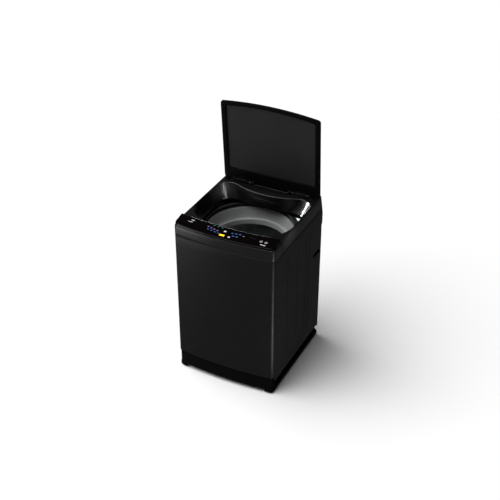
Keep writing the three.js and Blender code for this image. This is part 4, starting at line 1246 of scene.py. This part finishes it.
class WASHER_OT_lid(bpy.types.Operator):
    """Forms the lid's frame with its hinge knuckles, the glass pane, its print and the pins"""

    bl_idname = "washer.lid"
    bl_label = "Lid"

    def execute(self, context):
        self.add_frame()
        self.add_glass()
        self.add_backing()
        for side in ("left", "right"):
            softened(f"hinge_pin_{side}", f"turned_pin_{side}", "lid", "zinc_steel", 0.0006)
        return {"FINISHED"}

    def add_frame(self):
        low, high, seat = LID_LOW, LID_HIGH, LID_HIGH - 0.0043
        loops = []
        for inset, z in ((0.0016, 0.0), (0.0006, 0.0003), (0.0001, 0.0010), (0.0, 0.0022)):
            loops.append(level(lid_outline(inset), low + z))
        crown = ((0.0, 0.0040), (0.0004, 0.0020), (0.0013, 0.0008), (0.0026, 0.0002), (0.0045, 0.0))
        loops += [level(lid_outline(inset), high - z) for inset, z in crown]
        loops += [level(lid_outline(0.0058), high - z) for z in (0.0002, 0.0043)]
        loops += [level(window_outline(inset), seat) for inset in (-0.004, 0.0)]
        for inset, z in ((0.0, 0.0018), (-0.0004, 0.0006), (-0.0016, 0.0)):
            loops.append(level(window_outline(inset), low + z))
        loops.append(level(window_outline(-0.008), low))
        frame_piece = loops_solid("lid_rim", loops, ring=True)
        for side in (-1, 1):
            for a, b in NOTCHES:
                x = sorted((side * a, side * b))
                notch = block("notch", (x[0], -0.016, -0.02), (x[1], 0.03, 0.03), 0.001, 2)
                combined(frame_piece, notch, "DIFFERENCE")
        spans = [(-MIDDLE_TONGUE, MIDDLE_TONGUE)]
        for side in (-1, 1):
            spans += [tuple(sorted((side * a, side * b))) for a, b in TONGUES]
        for a, b in spans:
            tongue = block("tongue", (a, -0.0145, low), (b, 0.010, high), 0.0015, 3)
            combined(frame_piece, tongue, "UNION")
        for side in (-1, 1):
            for a, b in KNUCKLES:
                x = sorted((side * a, side * b))
                round_end = [(0.0005, x[0]), (0.0080, x[0]), (0.0090, x[0] + 0.001)]
                profile = round_end + [(0.0090, x[1] - 0.001), (0.0080, x[1]), (0.0005, x[1])]
                barrel = turned("knuckle", profile, (0, 0, 0), "X", steps=48)
                combined(frame_piece, barrel, "UNION")
            x = sorted((side * PIN_BORE[0], side * PIN_BORE[1]))
            bore = turned("bore", [(0.0043, x[0]), (0.0043, x[1])], (0, 0, 0), "X", steps=32)
            combined(frame_piece, bore, "DIFFERENCE")
        open_lid(frame_piece)
        finish_piece(frame_piece, "lid", "moulded_black", "lid_frame", angle=40)

    def add_backing(self):
        """The dark print on the glass's underside that closes the frame's window."""
        loops = [level(window_outline(inset), z) for inset, z in ((-0.003, 0.01075), (-0.003, 0.01095))]
        film = open_lid(loops_solid("glass_backing", loops))
        finish_piece(film, "lid", "smoked_glass", angle=30)
        film.data.materials[0] = grey_print()

    def add_glass(self):
        low, high = LID_HIGH - 0.004, LID_HIGH
        loops = [
            level(lid_outline(0.0070), low),
            level(lid_outline(0.0063), low + 0.0007),
            level(lid_outline(0.0063), high - 0.0007),
            level(lid_outline(0.0070), high),
        ]
        pane = loops_solid("glass_pane", loops)
        for side in (-1, 1):
            x = sorted((side * 0.094, side * 0.233))
            relief = block("relief", (x[0], -0.034, -0.02), (x[1], 0.03, 0.03), 0.004, 4)
            combined(pane, relief, "DIFFERENCE")
        open_lid(pane)
        finish_piece(pane, "lid", "smoked_glass", "lid_glass", angle=30)


class WASHER_OT_hinges(bpy.types.Operator):
    """Rounds the hinge brackets, the lid dampers and the detergent drawer"""

    bl_idname = "washer.hinges"
    bl_label = "Hinges and drawer"

    def execute(self, context):
        for side in ("left", "right"):
            softened(f"hinge_bracket_{side}", f"moulded_bracket_{side}", "cabinet", "plinth_black", 0.0020, 3)
            softened(f"lid_damper_{side}", f"moulded_damper_{side}", "cabinet", "plinth_black", 0.0010)
        softened("detergent_drawer", "moulded_drawer", "drawer", "gloss_black", 0.0006)
        return {"FINISHED"}


# Drum


class WASHER_OT_drum(bpy.types.Operator):
    """Forms the fluted drum, the silver balance ring with its cap and the tub's cover"""

    bl_idname = "washer.drum"
    bl_label = "Drum and rings"

    def execute(self, context):
        self.add_basket()
        self.add_ring()
        self.add_cover()
        return {"FINISHED"}

    def add_basket(self):
        low, high = BASKET_LOW.z, BASKET_HIGH.z
        radius = (BASKET_HIGH.x - BASKET_LOW.x) / 2
        flutes, around = 24, 24 * 12
        kick = arc(radius - 0.014, low + 0.014, 0.014, -math.pi / 2, 0, 6)
        heights = packed_list(low + 0.03, high, 0.045, [low + 0.05, high - 0.035], 0.02, 0.005)
        profile = [(0.020, low), (0.08, low), (0.15, low), *kick, *((radius, z) for z in heights)]

        def place(i, j):
            r, z = profile[j]
            angle = ROUND * i / around
            wave = 0.5 - 0.5 * math.cos(flutes * angle)
            ends = smooth((z - low - 0.03) / 0.04) * smooth((high - 0.02 - z) / 0.03)
            depth = r - 0.0030 * wave**2 * ends
            return Vector((depth * math.cos(angle), DRUM_AXIS.y + depth * math.sin(angle), z))

        basket = formed_sheet("fluted_drum", around, len(profile) - 1, place)
        weld(basket)

        def outward(c):
            return Vector((c.x, c.y - DRUM_AXIS.y, 0)) if c.z > low + 0.02 else Vector((0, 0, -1))

        thickened(basket, WALL_DRUM, outward)
        finish_piece(basket, "drum", "stainless", "wash_basket", angle=50)

    def add_ring(self):
        low, high = RING_LOW.z, RING_HIGH.z
        outer = (RING_HIGH.x - RING_LOW.x) / 2
        centre = (0, DRUM_AXIS.y, 0)
        top_out = arc(outer - 0.004, high - 0.0047, 0.004, 0, math.pi / 2, 6)
        top_in = arc(0.2325, high - 0.0042, 0.0035, math.pi / 2, math.pi * 0.94, 6)
        cone = ((0.2258, 0.018), (0.2215, 0.036), (0.2172, 0.052), (0.2140, 0.060))
        step = ((0.2112, 0.0635), (0.2080, 0.0650), (0.2050, 0.0670), (0.2036, 0.074))
        fall = [(r, high - drop) for r, drop in cone + step]
        profile = [(outer, low), *top_out, *top_in, *fall, (0.2022, low + 0.001), (0.2030, low)]
        piece = turned("balance_ring_skin", profile, centre, steps=192, ring=True)
        finish_piece(piece, "drum", "silver_plastic", "balance_ring", angle=35)
        # The cap stands for the ring's welded upper half; its darker grey against the silver body is painted
        # shade on the ring's top.
        land = [(outer - 0.0010, high - 0.0050), (outer - 0.0012, high - 0.0020), (outer - 0.0040, high)]
        edge = [(0.2322, high), (0.2302, high - 0.0012), (0.2298, high - 0.0030), (0.2330, high - 0.0045)]
        cap = turned("balance_ring_cap", land + edge, centre, steps=192, ring=True)
        finish_piece(cap, "drum", "pulsator_grey", angle=35)

    def add_cover(self):
        low_corner, high_corner = map(Vector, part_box("tub_cover"))
        low, high = low_corner.z, high_corner.z
        outer = (high_corner.x - low_corner.x) / 2
        flange = [(outer, low), (outer, low + 0.005), (outer - 0.001, low + 0.006), (0.2425, low + 0.006)]
        rise = [(0.2400, low + 0.0072), (0.2396, high - 0.001)]
        lip = [(0.2388, high), (0.2368, high), (0.2360, high - 0.001)]
        profile = [*flange, *rise, *lip, (0.2360, low)]
        piece = turned("tub_rim", profile, (0, DRUM_AXIS.y, 0), steps=144, ring=True)
        finish_piece(piece, "tub", "tub_grey", "tub_cover", angle=35)
        # The rim gets a darker grey than the tub's own: painted shade for where the well's lower edge shades
        # it.
        shaded_rim_finish = moulded("dark grey polypropylene", "#222324", 0.55, 1.1, 0.00004, specular=0.1)
        piece.data.materials[0] = shaded_rim_finish


class WASHER_OT_pulsator(bpy.types.Operator):
    """Forms the pulsator's dished plate with swept fins, and its centre cap"""

    bl_idname = "washer.pulsator"
    bl_label = "Pulsator"

    def execute(self, context):
        low_corner, high_corner = map(Vector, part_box("pulsator"))
        low, top = low_corner.z, high_corner.z
        reach = (high_corner.x - low_corner.x) / 2
        fins, around, rings = 6, 216, 40
        inner = 0.0095

        def height(r, angle):
            share = (r - inner) / (reach - inner)
            plate = 0.010 + 0.024 * (1 - smooth(share)) ** 1.2
            sweep = angle - 0.35 * share
            off = (sweep * fins / ROUND + 0.5) % 1.0 - 0.5
            across = abs(off) * ROUND / fins * r / 0.0105
            along = smooth((r - 0.030) / 0.012) * smooth((0.152 - r) / 0.050)
            fin = 0.026 * along * (1 - smooth(across * 0.8)) * (0.65 + 0.35 * (1 - share))
            return min(plate + fin, top - low)

        def place(i, j):
            angle = ROUND * i / around
            if j <= rings:
                r = inner + (reach - inner) * (j / rings) ** 0.9
                z = height(r, angle)
            else:
                r, z = [(reach, 0.004), (reach - 0.005, 0.0), (inner, 0.0)][j - rings - 1]
            return Vector((r * math.cos(angle), DRUM_AXIS.y + r * math.sin(angle), low + z))

        def looped(i, j):
            return place(i, 0 if j == rings + 4 else j)

        plate = weld(formed_sheet("finned_pulsator", around, rings + 4, looped))
        finish_piece(plate, "agitator", "pulsator_grey", "pulsator", angle=45)
        a, b = map(Vector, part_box("pulsator_cap"))
        wide, tall = (b.x - a.x) / 2, b.z - a.z
        turns = [math.pi / 2 * k / 9 for k in range(9)]
        dome = [(wide * math.cos(t), 0.003 + (tall - 0.003) * math.sin(t)) for t in turns]
        profile = [(0.0006, 0), (wide, 0), *dome, (0.0006, tall)]
        cap = turned("pulsator_dome", profile, (0, DRUM_AXIS.y, a.z), steps=64)
        finish_piece(cap, "agitator", "silver_plastic", "pulsator_cap", angle=40)
        return {"FINISHED"}


# Rear

# Where the rear panel's screws are, as (x, z).
SCREW_PLACES = [(-0.274, z) for z in (0.06, 0.22, 0.40, 0.56, 0.715)]
SCREW_PLACES += [(-x, z) for x, z in SCREW_PLACES]
SCREW_PLACES += [(-0.09, 0.725), (0.09, 0.725), (-0.09, 0.045), (0.09, 0.045)]
# The two pressed fields: their half width, and the lower and upper end of each.
FIELD_HALF = 0.235
FIELD_ENDS = ((0.40, 0.70), (0.11, 0.37))
# The louvres: rows and columns, the first one's middle, the step to the next and half a slot's size.
LOUVRES = (6, 9)
LOUVRE_FIRST = (-0.128, 0.150)
LOUVRE_STEP = (0.032, 0.014)
LOUVRE_HALF = (0.011, 0.0025)


class WASHER_OT_rear(bpy.types.Operator):
    """Presses the rear panel, rounds the shroud and adds threads, vents and screws"""

    bl_idname = "washer.rear"
    bl_label = "Rear panel and fittings"

    def execute(self, context):
        self.add_panel()
        softened("rear_shroud", "moulded_shroud", "cabinet", "moulded_black", 0.0018, 3, 20, angle=40)
        self.add_screws()
        self.add_spigots()
        softened("cord_gland", "ribbed_gland", "cabinet", "rubber", 0.0008)
        softened("drain_outlet", "moulded_outlet", "cabinet", "plinth_black", 0.0008)
        return {"FINISHED"}

    def add_panel(self):
        """A pressed sheet with two raised fields between a flat border and a middle rail."""
        face = REAR_HIGH.y
        low, high, half = REAR_LOW.z, REAR_HIGH.z, REAR_HIGH.x
        ends = sorted(z for field in FIELD_ENDS for z in field)
        xs = packed_list(-half, half, 0.03, [-FIELD_HALF, FIELD_HALF], 0.016, 0.002)
        zs = packed_list(low, high, 0.03, ends, 0.016, 0.002)

        def place(i, j):
            x, z = xs[i], zs[j]
            sink = 0.0
            for z0, z1 in FIELD_ENDS:
                inside = min(x + FIELD_HALF, FIELD_HALF - x, z - z0, z1 - z)
                sink = max(sink, smooth((inside + 0.002) / 0.010))
            return Vector((x, face - 0.004 * sink, z))

        sheet = formed_sheet("pressed_rear", len(xs) - 1, len(zs) - 1, place)
        thickened(sheet, WALL_STEEL, lambda c: Vector((0, 1, 0)))
        cutters = []
        wide, tall = LOUVRE_HALF
        for row in range(LOUVRES[0]):
            for column in range(LOUVRES[1]):
                x = LOUVRE_FIRST[0] + LOUVRE_STEP[0] * column
                z = LOUVRE_FIRST[1] + LOUVRE_STEP[1] * row
                low_corner, high_corner = (x - wide, face - 0.02, z - tall), (x + wide, face + 0.01, z + tall)
                cutters.append(block("slot", low_corner, high_corner))
        activate(cutters[0])
        for cutter in cutters:
            cutter.select_set(True)
        bpy.ops.object.join()
        combined(sheet, bpy.context.view_layer.objects.active, "DIFFERENCE")
        for node, radius in (("cord_gland", 0.0092), ("drain_outlet", 0.0143)):
            a, b = map(Vector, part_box(node))
            centre = ((a.x + b.x) / 2, 0, (a.z + b.z) / 2)
            hole = turned("hole", [(radius, face - 0.02), (radius, face + 0.02)], centre, "Y", steps=48)
            combined(sheet, hole, "DIFFERENCE")
        finish_piece(sheet, "cabinet", "zinc_steel", "rear_panel", angle=40)

    def add_screws(self):
        """One pan head screw with a cross recess, and its copies round the rear panel."""
        face = REAR_HIGH.y
        head = [(0.0038, 0.0), (0.0038, 0.0006), (0.0033, 0.0014), (0.0022, 0.0019), (0.0004, 0.0020)]
        master = turned("rear_screw", [(0.0004, 0.0), *head], (0, 0, 0), "Y", steps=32)
        for turn in ((0.0022, 0.0006), (0.0006, 0.0022)):
            slot = block("recess", (-turn[0], 0.0010, -turn[1]), (turn[0], 0.004, turn[1]))
            combined(master, slot, "DIFFERENCE")
        for x, z in SCREW_PLACES:
            depth = 0.0011 if abs(x) > 0.26 else 0.0
            self.place_screw(master, Vector((x, face + depth, z)))
        bpy.data.objects.remove(master)

    def place_screw(self, master, where):
        """A copy of the screw at its place."""
        screw = master.copy()
        screw.data = master.data.copy()
        bpy.context.collection.objects.link(screw)
        for vertex in screw.data.vertices:
            vertex.co += where
        finish_piece(screw, "cabinet", "zinc_steel", angle=30)

    def add_spigots(self):
        """The inlet valve's body with its two threaded spigots."""
        low, high = map(Vector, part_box("inlet_valve"))
        body = block("valve_body", (low.x, low.y, low.z), (high.x, low.y + 0.010, high.z), 0.002, 3)
        radius, pitch = 0.0132, 0.0018
        start, end = low.y + 0.008, high.y
        thread = []
        for k in range(9):
            y = end - 0.0185 + pitch * k
            thread += [(radius - 0.0012, y), (radius - 0.0001, y + 0.0006), (radius - 0.0001, y + 0.0009)]
        outside = [(radius - 0.0012, start), *thread, (radius - 0.0014, end - 0.0012), (radius - 0.0022, end)]
        inside = [(0.0088, end), (0.0080, end - 0.001), (0.0080, end - 0.026), (0.0004, end - 0.026)]
        for x in INLET_XS:
            spigot = turned("spigot", [(0.0004, start), *outside, *inside], (x, 0, INLET_Z), "Y", steps=64)
            combined(body, spigot, "UNION")
        body.name = "threaded_inlets"
        finish_piece(body, "cabinet", "white_plastic", "inlet_valve", angle=35)


class WASHER_OT_side_plugs(bpy.types.Operator):
    """Adds the screw plugs at the upper rear of both sides"""

    bl_idname = "washer.side_plugs"
    bl_label = "Side plugs"

    def execute(self, context):
        for side in (-1, 1):
            inner, outer = side * (HALF_WIDTH - 0.0012), side * HALF_WIDTH
            step = side * 0.0003
            rim = [(0.0052, inner), (0.0052, outer - step), (0.0044, outer)]
            profile = [(0.0004, inner), *rim, (0.0004, outer)]
            plug = turned("side_plug", profile, (0, *SIDE_PLUG), "X", steps=32)
            finish_piece(plug, "cabinet", "silver_trim", angle=30)
        return {"FINISHED"}


class WASHER_OT_works(bpy.types.Operator):
    """Rounds the drive, tub, filters and valves that show when the machine is opened"""

    bl_idname = "washer.works"
    bl_label = "Inner works"

    PIECES = (
        ("outer_tub", "tub", "tub_grey", 0.0010),
        ("drive_frame", "tub", "zinc_steel", 0.0008),
        ("gearbox", "tub", "cast_aluminium", 0.0015),
        ("motor", "tub", "cast_aluminium", 0.0015),
        ("motor_pulley", "motor_rotor", "zinc_steel", 0.0004),
        ("drive_pulley", "agitator", "cast_aluminium", 0.0006),
        ("drive_belt", "tub", "rubber", 0.0004),
        ("basket_hub", "drum", "cast_aluminium", 0.0006),
        ("lint_filter_left", "left_filter", "white_plastic", 0.0012),
        ("lint_filter_right", "right_filter", "white_plastic", 0.0012),
        ("drain_valve", "tub", "white_plastic", 0.0010),
        ("drain_motor", "tub", "white_plastic", 0.0010),
        ("drain_hose", "tub", "rubber", 0.0004),
        ("lid_switch", "cabinet", "plinth_black", 0.0006),
    )

    def execute(self, context):
        for node, body, slot, edge in self.PIECES:
            softened(node, node + "_fine", body, slot, edge, sharp=35, angle=40)
        return {"FINISHED"}


class WASHER_OT_finishes(bpy.types.Operator):
    """Gives each remaining frame part the finish of its slot"""

    bl_idname = "washer.finishes"
    bl_label = "Finishes"

    def execute(self, context):
        slots = {part["node"]: part["material_slot"] for part in frame["record"]["subparts"]}
        for name, node in frame["nodes"].items():
            material = finish_of(slots[name])
            if "spring" in name:
                material = made_once("wire", wound_wire)
            # The suspension rods take a near black finish: painted shade for the dark gap they stand in.
            if "suspension_rod" in name:
                material = made_once("rod", rod_in_painted_shade)
            for spot in range(max(len(node.data.materials), 1)):
                if node.data.materials:
                    node.data.materials[spot] = material
                else:
                    node.data.materials.append(material)
        return {"FINISHED"}


def rod_in_painted_shade():
    """Drawn steel painted near black as painted shade for the rods in the dark gap beside the tub, with a
    soft glint along the drawing lines.
    """
    return brushed_metal("near black steel in painted shade", "#0d0d0e", 0.5, (1, 1, 0.05), 0.4)


# Studio


CAMERA_PLACE = Vector((2.0277, -4.0328, 3.6154))
CAMERA_AIM = Vector((0.01183, -0.02286, 0.68843))
CAMERA_LENS = 72.63
SENSOR_WIDTH = 36
SUN_DIRECTION = Vector((0.42, 0.25, -0.87))


def area_light(name, where, aim, size, power):
    """A soft rectangular lamp that the camera doesn't see."""
    bpy.ops.object.light_add(type="AREA", location=where)
    lamp = bpy.context.object
    lamp.name = name
    lamp.data.shape = "RECTANGLE"
    lamp.data.size, lamp.data.size_y = size
    lamp.data.energy = power
    lamp.rotation_euler = (Vector(aim) - Vector(where)).to_track_quat("-Z", "Y").to_euler()
    lamp.visible_camera = False
    return lamp


class WASHER_OT_studio(bpy.types.Operator):
    """Adds the pale floor, the soft lights and the camera"""

    bl_idname = "washer.studio"
    bl_label = "Studio"

    def execute(self, context):
        scene = context.scene
        bpy.ops.object.select_all(action="DESELECT")
        bpy.ops.mesh.primitive_plane_add(size=60, location=(0, 0, 0))
        floor = context.object
        floor.name = "studio_floor"
        paint, tree, surface, place = new_material("matt white floor paint")
        mottle = put(tree, "ShaderNodeTexNoise", {"Vector": place, "Scale": per_mm(900), "Detail": 1.0})
        set_surface(
            tree,
            surface,
            Base_Color=blend(tree, mottle.outputs["Fac"], linear("#f5f5f5"), linear("#f7f7f7")),
            Roughness=0.9,
            Specular_IOR_Level=0.0,
        )
        floor.data.materials.append(paint)
        floor.visible_glossy = False
        world = bpy.data.worlds.new("studio_world")
        scene.world = world
        world.use_nodes = True
        backdrop = world.node_tree.nodes["Background"]
        backdrop.inputs["Color"].default_value = (1, 1, 1, 1)
        backdrop.inputs["Strength"].default_value = 0.08
        bpy.ops.object.light_add(type="SUN", location=(-2, -3, 5))
        sun = context.object
        sun.name = "soft_key"
        sun.data.energy = 3.7
        sun.data.angle = math.radians(60)
        sun.rotation_euler = SUN_DIRECTION.to_track_quat("-Z", "Y").to_euler()
        card = area_light("corner_card", (1.05, -0.665, 0.004), (1.05, -0.665, 1), (0.20, 1.2), 4.8)
        card.rotation_euler = (math.pi, 0, math.radians(63))
        area_light("front_card", (-1.9, -1.9, 0.05), (-0.2, -0.3, 0.6), (1.2, 0.8), 17)
        for name, where, aim, size, power, cone in (
            ("left_glint", (0.90, -0.45, 1.02), (-0.21, 0.15, 0.90), (0.10, 0.16), 0.30, 9),
            ("right_glint", (-0.50, 0.05, 1.02), (0.22, 0.16, 0.88), (0.12, 0.16), 0.28, 12),
        ):
            glint = area_light(name, where, aim, size, power)
            glint.data.spread = math.radians(cone)
        camera_data = bpy.data.cameras.new("studio_camera")
        camera = bpy.data.objects.new("studio_camera", camera_data)
        context.collection.objects.link(camera)
        camera_data.lens = CAMERA_LENS
        camera_data.sensor_width = SENSOR_WIDTH
        camera_data.clip_end = 100
        camera.location = CAMERA_PLACE
        camera.rotation_euler = (CAMERA_AIM - CAMERA_PLACE).to_track_quat("-Z", "Y").to_euler()
        scene.camera = camera
        scene.view_settings.view_transform = "Standard"
        return {"FINISHED"}


PIECE_OPERATORS = (
    WASHER_OT_cabinet,
    WASHER_OT_base,
    WASHER_OT_front_band,
    WASHER_OT_control_panel,
    WASHER_OT_panel_marks,
    WASHER_OT_top_cover,
    WASHER_OT_lid,
    WASHER_OT_hinges,
    WASHER_OT_drum,
    WASHER_OT_pulsator,
    WASHER_OT_rear,
    WASHER_OT_side_plugs,
    WASHER_OT_works,
    WASHER_OT_finishes,
    WASHER_OT_studio,
)


class WASHER_PT_sidebar(bpy.types.Panel):
    """Lists the washer's operators and settings"""

    bl_label = "Top load washer"
    bl_idname = "WASHER_PT_sidebar"
    bl_space_type = "VIEW_3D"
    bl_region_type = "UI"
    bl_category = "Washer"

    def draw(self, context):
        column = self.layout.column()
        for operator in PIECE_OPERATORS:
            column.operator(operator.bl_idname)
        for group in (context.scene.washer_sizes, context.scene.washer_colours):
            for name in group.__annotations__:
                column.prop(group, name)


CLASSES = (WasherSizes, WasherColours, *PIECE_OPERATORS, WASHER_PT_sidebar)


def register():
    for cls in CLASSES:
        bpy.utils.register_class(cls)
    bpy.types.Scene.washer_sizes = PointerProperty(type=WasherSizes)
    bpy.types.Scene.washer_colours = PointerProperty(type=WasherColours)


def unregister():
    del bpy.types.Scene.washer_colours
    del bpy.types.Scene.washer_sizes
    for cls in reversed(CLASSES):
        bpy.utils.unregister_class(cls)


def main():
    register()
    for operator in PIECE_OPERATORS:
        group, name = operator.bl_idname.split(".")
        getattr(getattr(bpy.ops, group), name)()


if __name__ == "__main__":
    main()
